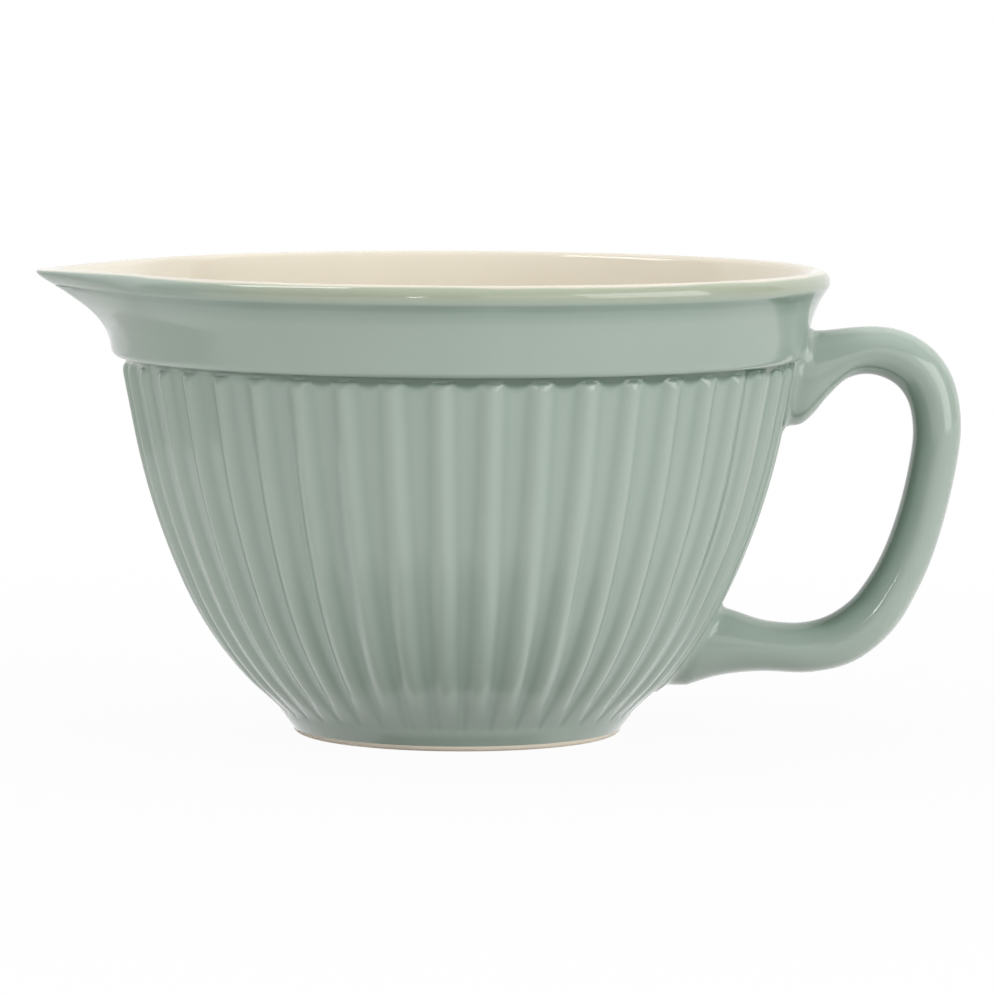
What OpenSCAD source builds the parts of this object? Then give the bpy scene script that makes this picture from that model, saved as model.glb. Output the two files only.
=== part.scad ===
// Fluted stoneware batter bowl: a cast clay body with a pouring spout, a pulled handle luted on
// with slip at two joints, a cream glaze lining and the bare clay ring that it stands on.
// The axis of the bowl is Z, the standing plane is z = 0, the handle is at +X, the spout at -X.

/* [Bowl] */
// Height from the standing plane to the crest of the rim
bowl_h = 120; // [114:1:128]
// Outermost radius of the rolled lip
rim_r = 95.3; // [92:0.1:100]
// Wall thickness under a rib crest, glaze included
wall_t = 5.5; // [5:0.1:6.5]
// Thickness of the floor above the foot recess, glaze included
floor_t = 6; // [5:0.1:8]

/* [Fluted wall] */
// How far the wall under the band sits inside the lip
wall_set_in = 8.4; // [7.4:0.1:9.4]
// Height of the straight upper part, as a share of the height of the ribbed wall
straight_share = 0.197; // [0.15:0.001:0.25]
// How far the straight part leans in, as a share of the way in to the foot
straight_in_share = 0.085; // [0.07:0.001:0.1]
// Height at which the belly ends, as a share of the height of the ribbed wall
belly_share = 0.364; // [0.33:0.001:0.4]
// How far out the wall is where the belly ends, as a share of the way out from the foot
belly_out_share = 0.607; // [0.58:0.001:0.63]
// Number of ribs round the wall
rib_count = 44; // [38:1:48]
// Width of a rib at its root
rib_w = 5.6; // [4.6:0.1:6.4]
// Height of a rib over the flutes beside it, under the band
rib_h = 1.5; // [1.1:0.1:1.9]
// Height of a rib over the flutes beside it, at the foot
rib_foot_h = 0.6; // [0.3:0.1:0.9]
// How much deeper a flute is along its middle
flute_dip = 0.2; // [0:0.05:0.4]
// How far under the band's ledge the ribs end
rib_gap = 0.6; // [0.2:0.1:1.5]

/* [Foot] */
// Radius of the flat face that the bowl stands on, at its outer edge
foot_r = 39.8; // [38:0.1:41.5]
// Width of the flat face that the bowl stands on
foot_ring_w = 5; // [4:0.1:7]
// How far the round outer edge of the foot widens
foot_edge_w = 2.7; // [1.8:0.1:3.3]
// How much wider the foot gets from its edge up to the ribs
foot_flare_w = 3.5; // [2.5:0.1:4.5]
// Height at which the ribs start
foot_h = 6.3; // [5:0.1:7.5]
// Depth of the recess inside the foot ring
foot_recess = 2.8; // [2.2:0.1:4]
// Height of the bare clay above the standing plane
bare_h = 1.5; // [1:0.1:2]

/* [Band and lip] */
// Height of the plain band, from its ledge to the crest of the rim
band_h = 23.8; // [22:0.1:26]
// How far the band stands proud of the rib crests
band_step = 2.4; // [1.8:0.1:3]
// Radius of the band's round lower edge
band_edge_r = 2.2; // [1.4:0.1:2.8]
// Lean of the band from the vertical, in degrees
band_lean = 8.5; // [5:0.1:11]
// Height above the ledge at which the band starts to flare
band_plain_h = 7.8; // [6:0.1:9]
// Radius of the rolled lip
lip_r = 3; // [2.6:0.1:3.4]

/* [Spout] */
// How far the spout reaches past the rest of the rim
spout_reach = 16.4; // [12:0.1:19]
// Radius of the spout's tip, seen from above
spout_tip_r = 16; // [13:0.5:19]
// How far the spout's tip lies below the crest of the rim
spout_drop = 0.8; // [0:0.1:2]

/* [Handle] */
// How far the middle of the upper joint lies under the crest of the rim
handle_top_drop = 28; // [26:0.5:32]
// Height of the middle of the lower joint on the wall
handle_low_z = 23; // [21:0.5:27]
// How far the handle stands off the line between its two joints
handle_reach = 45; // [40:0.5:50]
// Thickness of the handle, seen from the side
handle_t = 12.2; // [11:0.1:13.5]
// Width of the handle, seen from behind
handle_w = 17; // [14:0.5:20]
// Thickness of the slip between the handle and the rib crests
slip_t = 0.8; // [0.6:0.05:1.2]

/* [Glaze] */
// Thickness of the cream glaze lining
glaze_t = 0.5; // [0.4:0.05:0.7]
// How far the cream glaze runs down the outside of the lip
cream_drop = 1.8; // [1.2:0.1:2.4]

/* [Hidden] */
$fn = 240;

sage = "#a3b7a8";
bare_clay = "#e3cdb4";
cream = "#e6ddc9";
slip_grey = "#94aa9a";

// Where the inside turns to the floor, as a share of the way from the belly's lean to the foot's
turn_share = 0.9;
// How much narrower the foot recess gets for each millimetre up, which lets it leave its mould
recess_draft_share = 0.6;
// How much later the inside of the spout opens, as a share of the depth into the wall
spout_lag_share = 0.5;
// Where the flare of the band meets the round of the lip, and where the round is cut into facets
lip_join_angle = -42;
lip_angles = [60, 90, 135, 180];
edge_angle = -45;
flare_shares = [0, 0.5];
end_shares = [0.5, 1];
all_shares = [0, 0.5, 1];

// Columns of points round the bowl: a fixed count for each rib, and how many of them one facet
// spans where the wall is plain, away from the spout and at it
rib_column_count = 6;
coarse_span_count = 4;
fine_span_count = 2;
spout_rib_count = 9;
column_count = rib_count * rib_column_count;

// Outward normal of a wall that leans outwards by an angle from the vertical, as [radius, height]
function lean_normal(lean) = [cos(lean), -sin(lean)];
function compass(angle) = [cos(angle), sin(angle)];
// Radius of the arc that leaves p square to n and passes through q
function arc_through(p, n, q) = (q - p) * (q - p) / (2 * abs((q - p) * n));
function blend(a, b, t) = a + (b - a) * t;
function clamp01(t) = max(0, min(1, t));
function flatten(lists) = [for (list = lists) each list];

// The rib crests follow a straight line, the belly arc and a lower arc that ends at the foot
ledge_z = bowl_h - band_h;
crest_top = [rim_r - wall_set_in, ledge_z];
foot_edge = [foot_r + foot_edge_w, bare_h];
foot_top = [foot_edge.x + foot_flare_w, foot_h];
wall_span = crest_top - foot_top;
belly_top = crest_top - [straight_in_share * wall_span.x, straight_share * wall_span.y];
belly_end = foot_top + [belly_out_share * wall_span.x, belly_share * wall_span.y];
lean_top = atan2(crest_top.x - belly_top.x, crest_top.y - belly_top.y);
belly_r = arc_through(belly_top, lean_normal(lean_top), belly_end);
belly_c = belly_top - belly_r * lean_normal(lean_top);
lean_mid = atan2(belly_c.y - belly_end.y, belly_end.x - belly_c.x);
low_r = arc_through(belly_end, lean_normal(lean_mid), foot_top);
low_c = belly_end - low_r * lean_normal(lean_mid);
lean_foot = atan2(low_c.y - foot_top.y, foot_top.x - low_c.x);
function crest_radius(z) =
    z > belly_top.y ? crest_top.x - (ledge_z - z) * tan(lean_top) :
    z > belly_end.y ? belly_c.x + sqrt(belly_r ^ 2 - (z - belly_c.y) ^ 2) :
    low_c.x + sqrt(low_r ^ 2 - (z - low_c.y) ^ 2);

// The band: a round lower edge, a plain leaning part, a flare and the rolled lip
edge_c = [crest_top.x + band_step - band_edge_r, ledge_z + band_edge_r];
band_foot = edge_c + band_edge_r * lean_normal(band_lean);
flare_z = ledge_z + band_plain_h;
flare_start = band_foot + (flare_z - band_foot.y) * [tan(band_lean), 1];
lip_c = [rim_r - lip_r, bowl_h - lip_r];
lip_join = lip_c + lip_r * compass(lip_join_angle);
flare_r = arc_through(flare_start, lean_normal(band_lean), lip_join);
flare_c = flare_start + flare_r * lean_normal(band_lean);
flare_end = acos((flare_c.x - lip_join.x) / flare_r);
cream_angle = asin((lip_r - cream_drop) / lip_r);

// Inside, the wall runs parallel to the crests and opens to the lip above the ledge
inner_top = crest_top - wall_t * lean_normal(lean_top);
lip_inner = lip_c - [lip_r, 0];
opening_r = arc_through(inner_top, lean_normal(lean_top), lip_inner);
opening_c = inner_top + opening_r * lean_normal(lean_top);
opening_end = acos((opening_c.x - lip_inner.x) / opening_r);
floor_z = foot_recess + floor_t;
turn_start = blend(lean_mid, lean_foot, turn_share);
turn_top = low_c + (low_r - wall_t) * lean_normal(turn_start);
floor_turn_r = (turn_top.y - floor_z) / (1 - sin(turn_start));
turn_c = turn_top - floor_turn_r * lean_normal(turn_start);
recess_r = foot_r - foot_ring_w;
function recess_edge(z) = [recess_r - recess_draft_share * z, z];

// How far the spout stands out at a height, for a point that lies some depth inside the wall
function spout_out(z, depth) = spout_reach
    * clamp01((z - spout_lag_share * depth - edge_c.y) / (bowl_h - edge_c.y)) ^ 2;
// Radius of an outline that leaves a circle of radius r along its tangents and ends in a round
// tip at a distance reach; away is the angle from the tip
function spout_radius(r, tip, reach, away) =
    let (
        c = reach - tip,
        turn = acos((r - tip) / c),
        tip_turn = atan2(tip * sin(turn), c + tip * cos(turn))
    )
    away >= turn ? r :
    away >= tip_turn ? r / cos(turn - away) :
    c * cos(away) + sqrt(tip ^ 2 - (c * sin(away)) ^ 2);
// A point [radius, height, depth] turned to an angle, drawn out and lowered at the spout
function bowl_point(p, angle) =
    let (
        out = spout_out(p.y, p.z),
        away = abs(180 - (angle + 360) % 360),
        r = spout_radius(p.x, spout_tip_r - p.z, p.x + out, away),
        drop = spout_drop * (r - p.x) / spout_reach
    )
    [r * cos(angle), r * sin(angle), p.y - drop];
function round_point(p, angle) = [p.x * cos(angle), p.x * sin(angle), p.y];

// A row is a list of columns and their points. Plain rows have more columns at the spout.
fine_from = coarse_span_count
    * ceil((rib_count - spout_rib_count) / 2 * rib_column_count / coarse_span_count);
fine_to = column_count - fine_from;
plain_columns = concat(
    [for (i = [0 : coarse_span_count : fine_from - 1]) i],
    [for (i = [fine_from : fine_span_count : fine_to - 1]) i],
    [for (i = [fine_to : coarse_span_count : column_count - 1]) i]
);
function plain_row(p, ids) = [ids, [for (i = ids) bowl_point(p, 360 * i / column_count)]];

// Across one rib: place as a share of its half width, height as a share of its height
rib_shares = [[-1, 0], [-0.6, 0.74], [0, 1], [0.6, 0.74], [1, 0]];
// Rows of the ribbed wall, as shares of the lower arc and of the round end of a rib
low_shares = [0.14, 0.55, 1];
rib_end_shares = [0, 0.85];
// The narrowest that a rib gets, and the widest as a share of the pitch
rib_tip_share = 0.4;
rib_fill_share = 0.84;

function rib_height(z) = blend(rib_foot_h, rib_h, clamp01((z - foot_h) / (belly_end.y - foot_h)));
function rib_half(r) = min(rib_w, rib_fill_share * 2 * PI * r / rib_count) / 2;
// A line of the wall is [crest point, normal, depth of the flutes, height of the ribs, half width]
function wall_line(p, n) = [p, n, rib_height(p.y), rib_height(p.y), rib_half(p.x)];
rib_end = crest_top - (rib_gap + rib_w / 2) * [tan(lean_top), 1];
wall_lines = concat(
    [[foot_top, lean_normal(lean_foot), 0, 0, rib_half(foot_top.x)]],
    [for (s = low_shares) let (n = lean_normal(blend(lean_foot, lean_mid, s)))
        wall_line(low_c + low_r * n, n)],
    [for (s = end_shares) let (n = lean_normal(blend(lean_mid, lean_top, s)))
        wall_line(belly_c + belly_r * n, n)],
    [for (s = rib_end_shares) let (fall = sqrt(1 - s ^ 2), n = lean_normal(lean_top))
        [rib_end + s * rib_w / 2 * [tan(lean_top), 1], n, rib_h, rib_h * fall, rib_w / 2 * fall]],
    [[crest_top, lean_normal(lean_top), rib_h, 0, rib_w / 2 * rib_tip_share]]
);
// The row along one line over some ribs: the middle of a flute, then the five points of a rib
function rib_row(line, first, last) =
    let (
        pitch = 360 / rib_count,
        flute = line[0] - line[2] * line[1],
        middle = flute - (line[2] == 0 ? 0 : flute_dip) * line[1],
        turn = line[4] / line[0].x * 180 / PI
    )
    [
        [for (i = [first * rib_column_count : (last + 1) * rib_column_count - 1]) i],
        flatten([for (i = [first : last]) concat(
            [round_point(middle, pitch * i)],
            [for (s = rib_shares)
                round_point(flute + line[3] * s[1] * line[1], pitch * (i + 0.5) + s[0] * turn)]
        )])
    ];

// Points of the plain faces as [radius, height, depth inside the outer face]
function at_depth(points, depth) = [for (p = points) [p.x, p.y, depth]];
function lip_point(angle, d) =
    let (p = lip_c + (lip_r - d) * compass(angle))
    [p.x, p.y, lip_r * (1 - cos(angle))];
foot_line = at_depth([recess_edge(foot_recess), recess_edge(bare_h), foot_edge], 0);
band_line = concat(
    at_depth(concat(
        [[edge_c.x, ledge_z], edge_c + band_edge_r * compass(edge_angle), band_foot],
        [for (t = flare_shares) flare_c - flare_r * lean_normal(blend(band_lean, flare_end, t))]
    ), 0),
    [for (angle = [lip_join_angle, 0, cream_angle]) lip_point(angle, 0)]
);
// From the edge of the cream glaze over the lip and down to the floor, sunk into the wall by d
function inner_line(d) = concat(
    [for (angle = concat([cream_angle], lip_angles)) lip_point(angle, d)],
    at_depth(concat(
        [for (t = end_shares) opening_c - (opening_r - d) * lean_normal(blend(opening_end, lean_top, t))],
        [for (t = all_shares)
            belly_c + (belly_r - wall_t + d) * lean_normal(blend(lean_top, lean_mid, t))],
        [for (t = end_shares)
            low_c + (low_r - wall_t + d) * lean_normal(blend(lean_mid, turn_start, t))],
        [for (t = end_shares) turn_c + (floor_turn_r + d) * lean_normal(blend(turn_start, 90, t))]
    ), 2 * lip_r)
);
function reversed(list) = [for (i = [len(list) - 1 : -1 : 0]) list[i]];

// Triangles between two rows of [column, index], where the coarse row's columns are in the fine
// row too; coarse_low says that the coarse row is the lower one. Rows run from left to right.
function between(coarse, fine, coarse_low) = flatten([for (k = [0 : len(coarse) - 2])
    let (
        span = len(coarse) == len(fine)
            ? [fine[k], fine[k + 1]]
            : [for (f = fine) if (f.x >= coarse[k].x && f.x <= coarse[k + 1].x) f],
        mid = floor(len(span) / 2)
    )
    concat(
        [for (i = [0 : len(span) - 2]) let (c = coarse[i < mid ? k : k + 1].y)
            coarse_low ? [c, span[i].y, span[i + 1].y] : [span[i].y, c, span[i + 1].y]],
        [coarse_low
            ? [coarse[k].y, span[mid].y, coarse[k + 1].y]
            : [coarse[k].y, coarse[k + 1].y, span[mid].y]]
    )]);
function strip(low, high) = len(low) < len(high) ? between(low, high, true) : between(high, low, false);
// The first index of each row, when the points before the rows are counted too
function row_starts(rows, before) =
    [for (i = 0, start = before; i < len(rows); start = start + len(rows[i].x), i = i + 1) start];

// A closed skin from a first pole through rows that go all round to a last pole
module skin(first_pole, rows, last_pole) {
    starts = row_starts(rows, 1);
    last = starts[len(rows) - 1] + len(rows[len(rows) - 1].x);
    loops = [for (i = [0 : len(rows) - 1]) concat(
        [for (k = [0 : len(rows[i].x) - 1]) [rows[i].x[k], starts[i] + k]],
        [[column_count, starts[i]]]
    )];
    end = loops[len(loops) - 1];
    polyhedron(
        concat([first_pole], flatten([for (row = rows) row.y]), [last_pole]),
        concat(
            [for (k = [0 : len(loops[0]) - 2]) [0, loops[0][k].y, loops[0][k + 1].y]],
            flatten([for (i = [0 : len(loops) - 2]) strip(loops[i], loops[i + 1])]),
            [for (k = [0 : len(end) - 2]) [end[k].y, last, end[k + 1].y]]
        ),
        convexity = 10
    );
}

module stoneware_body() {
    color(sage) skin(
        [0, 0, foot_recess],
        concat(
            [for (p = foot_line) plain_row(p, plain_columns)],
            [for (line = wall_lines) rib_row(line, 0, rib_count - 1)],
            [for (p = band_line) plain_row(p, plain_columns)],
            [for (p = inner_line(glaze_t)) plain_row(p, plain_columns)]
        ),
        [0, 0, floor_z - glaze_t]
    );
}

// The cream glaze, from its underside on the floor up to the lip and down again inside
module cream_lining() {
    color(cream) skin(
        [0, 0, floor_z - glaze_t],
        concat(
            [for (p = reversed(inner_line(glaze_t))) plain_row(p, plain_columns)],
            [for (p = inner_line(0)) plain_row(p, plain_columns)]
        ),
        [0, 0, floor_z]
    );
}

module foot_ring() {
    color(bare_clay) rotate_extrude()
        polygon([recess_edge(0), [foot_r, 0], foot_edge, recess_edge(bare_h)]);
}

// Stations along the middle of the handle. Each one is [how far out as a share of the reach, how
// far down as a share of the way between the joints, tilt of its section in degrees, thickness
// share, width share].
handle_shares = [
    [-0.014, 0.004, 84, 2.03, 1.28],
    [0.097, 0.001, 79, 2.03, 1.22],
    [0.17, -0.021, 75, 1.87, 1.14],
    [0.248, -0.056, 67, 1.63, 1.06],
    [0.345, -0.09, 58, 1.34, 1],
    [0.455, -0.095, 52, 1.2, 0.97],
    [0.581, -0.073, 48, 1.12, 0.96],
    [0.714, -0.022, 40, 1.09, 0.96],
    [0.836, 0.063, 27, 1.07, 0.97],
    [0.932, 0.183, 10, 1.03, 0.98],
    [0.985, 0.313, -4, 1, 1],
    [1.024, 0.491, -7, 1, 1],
    [1.034, 0.657, -14, 1.02, 1],
    [1.01, 0.785, -19, 1.06, 1],
    [0.955, 0.897, -40, 1.1, 0.99],
    [0.829, 0.982, -59, 1.13, 0.98],
    [0.643, 1.016, -76, 1.09, 1],
    [0.4, 1.01, -95, 1.09, 1.05],
    [0.184, 0.993, -103, 1.32, 1.14],
    [0.029, 0.99, -109, 1.65, 1.24]
];
handle_side_count = 12;
// Rings of the handle that reach past the slip at each joint
joint_ring_count = 6;
// How far both ends of the handle are carried on under the rib crests before they are cut
joint_overrun = 6;
// How much a smooth curve bulges past the middle of its chord
ease_share = 0.125;
// Ribs of the wall behind a joint, to each side of the middle
patch_rib_count = 2;

handle_top_z = bowl_h - handle_top_drop;
upper_joint = [crest_radius(handle_top_z), handle_top_z];
lower_joint = [crest_radius(handle_low_z), handle_low_z];
// Half way along a smooth curve between b and c, with a before them and d after
function half_way(a, b, c, d) = (b + c) / 2 + ease_share * (b + c - a - d) / 2;
last_share = len(handle_shares) - 1;
handle_stations = flatten([for (i = [0 : last_share]) i == last_share ? [handle_shares[i]] : [
    handle_shares[i],
    half_way(
        handle_shares[max(i - 1, 0)], handle_shares[i],
        handle_shares[i + 1], handle_shares[min(i + 2, last_share)]
    )
]]);
// The outer and the inner edge of a station, seen from the side
function handle_edges(s) =
    let (
        line = upper_joint + s[1] * (lower_joint - upper_joint),
        half = handle_t / 2 * s[3] * compass(s[2])
    )
    [for (side = [1, -1]) line + [handle_reach * s[0], 0] + side * half];
function sunk_edges(edges) = [for (p = edges) [crest_radius(p.y) - joint_overrun, p.y]];
function handle_ring(edges, width_share) =
    let (middle = (edges[0] + edges[1]) / 2, half = (edges[0] - edges[1]) / 2)
    [for (k = [0 : handle_side_count - 1])
        let (a = 360 * k / handle_side_count, p = middle + half * cos(a))
        [p.x, -handle_w / 2 * width_share * sin(a), p.y]];
first_station = handle_stations[0];
last_station = handle_stations[len(handle_stations) - 1];
handle_rings = concat(
    [handle_ring(sunk_edges(handle_edges(first_station)), first_station[4])],
    [for (s = handle_stations) handle_ring(handle_edges(s), s[4])],
    [handle_ring(sunk_edges(handle_edges(last_station)), last_station[4])]
);

// A closed solid through rings of the handle
module handle_form(rings) {
    count = len(rings);
    loops = [for (i = [0 : count - 1])
        [for (k = [0 : handle_side_count]) [k, i * handle_side_count + k % handle_side_count]]];
    polyhedron(
        flatten(rings),
        concat(
            [[for (k = [0 : handle_side_count - 1]) k]],
            flatten([for (i = [0 : count - 2]) strip(loops[i], loops[i + 1])]),
            [[for (k = [handle_side_count - 1 : -1 : 0]) (count - 1) * handle_side_count + k]]
        ),
        convexity = 4
    );
}

// The part of a disc between two heights, on the outer side of the axis
module disc_slice(c, r, z0, z1) {
    intersection() {
        translate(c) circle(r);
        translate([0, z0]) square([c.x + r, z1 - z0]);
    }
}

// The bowl's plain outline over the crests, grown by the thickness of the slip, as one turned solid
module slip_form() {
    mid_z = belly_end.y - slip_t * sin(lean_mid);
    straight = belly_top + slip_t * lean_normal(lean_top);
    flare = flare_start + slip_t * lean_normal(band_lean);
    rotate_extrude() {
        disc_slice(low_c, low_r + slip_t, foot_edge.y, mid_z);
        disc_slice(belly_c, belly_r + slip_t, mid_z, straight.y);
        polygon([
            [0, straight.y],
            straight,
            straight + (ledge_z + band_edge_r - straight.y) * [tan(lean_top), 1],
            [0, ledge_z + band_edge_r]
        ]);
        polygon([
            [0, ledge_z - slip_t],
            [edge_c.x, ledge_z - slip_t],
            edge_c + (band_edge_r + slip_t) * lean_normal(band_lean),
            flare,
            flare + (lip_c.y - flare_z) * [tan(band_lean), 1],
            [0, lip_c.y]
        ]);
        translate(edge_c) circle(band_edge_r + slip_t);
    }
}

// The wall behind a joint, with the same facets as the body
module wall_patch(lines, band_points) {
    half = patch_rib_count * rib_column_count;
    ids = [for (i = [-half : coarse_span_count : half]) i];
    pieces = concat(
        [for (line = lines) let (row = rib_row(line, -patch_rib_count, patch_rib_count)) [
            [for (k = [0 : 2 * half]) row.x[k]],
            [for (k = [0 : 2 * half]) row.y[k]]
        ]],
        [for (p = band_points) plain_row(p, ids)]
    );
    rows = [for (row = pieces) [
        concat([-half - 1], row.x, [half + 1]),
        concat([[0, 0, row.y[0].z]], row.y)
    ]];
    starts = [for (i = 0, start = 0; i < len(rows); start = start + len(rows[i].y), i = i + 1) start];
    loops = [for (i = [0 : len(rows) - 1]) let (count = len(rows[i].y))
        [for (k = [0 : count]) [rows[i].x[k], starts[i] + k % count]]];
    first = loops[0];
    end = loops[len(loops) - 1];
    polyhedron(
        flatten([for (row = rows) row.y]),
        concat(
            [for (k = [1 : len(first) - 3]) [first[0].y, first[k].y, first[k + 1].y]],
            flatten([for (i = [0 : len(loops) - 2]) strip(loops[i], loops[i + 1])]),
            [for (k = [1 : len(end) - 3]) [end[k].y, end[0].y, end[k + 1].y]]
        ),
        convexity = 10
    );
}

module handle() {
    color(sage) difference() {
        handle_form(handle_rings);
        slip_form();
    }
}

// The slip between the ribbed wall and some rings of the handle
module slip_joint(rings, lines, band_points) {
    color(slip_grey) difference() {
        intersection() {
            handle_form(rings);
            slip_form();
        }
        wall_patch(lines, band_points);
    }
}

module upper_slip_joint() {
    slip_joint(
        [for (i = [0 : joint_ring_count - 1]) handle_rings[i]],
        [for (i = [len(low_shares) + 1 : len(wall_lines) - 1]) wall_lines[i]],
        [for (p = band_line) if (p.y < lip_join.y) p]
    );
}

module lower_slip_joint() {
    slip_joint(
        [for (i = [len(handle_rings) - joint_ring_count : len(handle_rings) - 1]) handle_rings[i]],
        [for (i = [0 : len(low_shares) + 1]) wall_lines[i]],
        []
    );
}

stoneware_body();
foot_ring();
cream_lining();
handle();
upper_slip_joint();
lower_slip_joint();
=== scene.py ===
"""Fluted stoneware batter bowl with a pouring spout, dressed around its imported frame.

The bowl's axis is Z, the standing plane is z = 0, the handle is at +X and the spout at -X.
Sizes are in millimetres and become metres where a mesh is made. Angles that classes hold are in
degrees. A point of a section is (radius, height).
"""

import logging
import math
from dataclasses import dataclass, replace
from enum import Enum

import bmesh
import bpy
from mathutils import Euler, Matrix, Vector


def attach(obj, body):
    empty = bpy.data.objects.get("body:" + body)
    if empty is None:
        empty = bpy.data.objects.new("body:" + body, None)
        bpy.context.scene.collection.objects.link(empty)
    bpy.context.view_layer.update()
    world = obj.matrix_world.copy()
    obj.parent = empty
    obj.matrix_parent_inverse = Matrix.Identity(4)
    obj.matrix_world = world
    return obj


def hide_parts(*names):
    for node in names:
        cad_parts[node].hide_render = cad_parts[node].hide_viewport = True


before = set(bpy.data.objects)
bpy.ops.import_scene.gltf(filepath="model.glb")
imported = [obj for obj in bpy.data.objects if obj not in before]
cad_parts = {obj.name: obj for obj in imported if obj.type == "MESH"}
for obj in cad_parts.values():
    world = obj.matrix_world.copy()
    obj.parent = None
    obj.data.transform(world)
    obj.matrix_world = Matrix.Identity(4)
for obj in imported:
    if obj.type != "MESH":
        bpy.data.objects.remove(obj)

MM = 0.001
TINY = 1e-6
ROOT = "root"
log = logging.getLogger("batter_bowl")

Pair = tuple[float, float]
Place = tuple[float, float, float]

# What the `lip` attribute says where the lip is too far off to matter.
FAR_BELOW_LIP = 99.0
FAR_INSIDE_LIP = -9.0

# The two glazes overlap on the lip from here to the right, clear of the spout.
OVERLAP_START_MM = -72.0
OVERLAP_END_MM = -48.0


def lean_normal(lean: float) -> Vector:
    """Outward normal of a wall that leans outwards by an angle in degrees."""
    a = math.radians(lean)
    return Vector((math.cos(a), -math.sin(a)))


def compass(angle: float) -> Vector:
    """Unit vector at an angle in degrees, 0 outwards and 90 up."""
    a = math.radians(angle)
    return Vector((math.cos(a), math.sin(a)))


def arc_through(start: Vector, normal: Vector, end: Vector) -> float:
    """Radius of the arc that leaves a point square to its normal and passes through another."""
    way = end - start
    return way.length_squared / (2.0 * abs(way.dot(normal)))


def blend(a: float, b: float, t: float) -> float:
    """The value a share t of the way from a to b."""
    return a + (b - a) * t


def clamp01(t: float) -> float:
    """The value held between 0 and 1."""
    return max(0.0, min(1.0, t))


def ease(t: float) -> float:
    """The share t with a soft start and a soft end."""
    return t * t * (3.0 - 2.0 * t)


def steps(count: int, first: int = 0) -> list[float]:
    """Even shares from 0 to 1, from step `first` of `count` onwards."""
    return [i / count for i in range(first, count + 1)]


def curve_value(p: float, q: float, r: float, s: float, t: float) -> float:
    """The value a share t of the way from q to r on the smooth curve through p, q, r and s."""
    return 0.5 * (2 * q + (r - p) * t + (2 * p - 5 * q + 4 * r - s) * t * t
                  + (3 * q - p - 3 * r + s) * t ** 3)


@dataclass(frozen=True)
class GlazeFlowAndShade:
    """How thick the dipped glaze lies on the bowl, from 0 on an edge to 1 in a groove.

    Under the band and the lip, painted shade is added on the same scale.

    Attributes:
        plain: On the band's face and on the foot's slope.
        even: On the wall, before its ribs change it, and on the lip.
        rib_root: Added where a rib rises out of its flutes.
        rib_root_at: How far from a rib's middle that is, in halves of its width.
        rib_root_spread: How wide that is, in halves of its width.
        rib_top: Taken off on top of a rib.
        ledge: Painted shade in the corner under the band.
        band_foot: Painted shade on the underside of the band.
        band_foot_fade: How fast that painted shade gives way round the band's edge.
        undercut: Painted shade in the hollow under the lip.
        undercut_start: Share of the way up the hollow where the painted shade starts.
        undercut_fade: Share of the way up the hollow over which it does.
        shade: Painted shade added in the gap under the band.
        shade_end: How far down that reaches, in heights of the gap.
        shade_fade: Over how many of them it fades out.
        shade_start_x: Where the painted shade in the gap starts, on the way from the spout.
        shade_start_w: Over what width it does.
    """

    plain: float = 0.3
    even: float = 0.35
    rib_root: float = 0.14
    rib_root_at: float = 1.2
    rib_root_spread: float = 0.4
    rib_top: float = 0.16
    ledge: float = 1.0
    band_foot: float = 0.9
    band_foot_fade: float = 1.2
    undercut: float = 0.75
    undercut_start: float = 0.5
    undercut_fade: float = 0.4
    shade: float = 0.7
    shade_end: float = 1.6
    shade_fade: float = 1.2
    shade_start_x: float = -68.0
    shade_start_w: float = 30.0


@dataclass(frozen=True)
class SectionSteps:
    """In how many steps each stretch of the bowl's section is drawn.

    Attributes:
        seen_inside: How many times finer the inside is where it is seen.
    """

    foot_slope: int = 6
    low_arc: int = 20
    belly: int = 12
    straight: int = 6
    rib_end: int = 10
    ledge: int = 2
    band_edge: int = 7
    band_face: int = 4
    flare: int = 10
    lip: int = 4
    roll: int = 8
    opening: int = 4
    inside: int = 3
    seen_inside: int = 3


@dataclass(frozen=True)
class ProfilePoint:
    """A point of the bowl's section before it is turned round the axis.

    Attributes:
        place: Radius and height.
        normal: Outward normal in the section.
        depth: How far it lies inside the outer face, which the spout's inside follows.
        flute: How high a rib stands over the point, before its round end is taken off.
        rib: Share of that height that a rib has here.
        pool: How thick the glaze lies, 0 on an edge to 1 in a groove, painted shade included.
        lip: Distance down the outside from the crest of the lip, less inside it.
    """

    place: Vector
    normal: Vector
    depth: float = 0.0
    flute: float = 0.0
    rib: float = 0.0
    pool: float = GlazeFlowAndShade.even
    lip: float = FAR_BELOW_LIP


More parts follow.
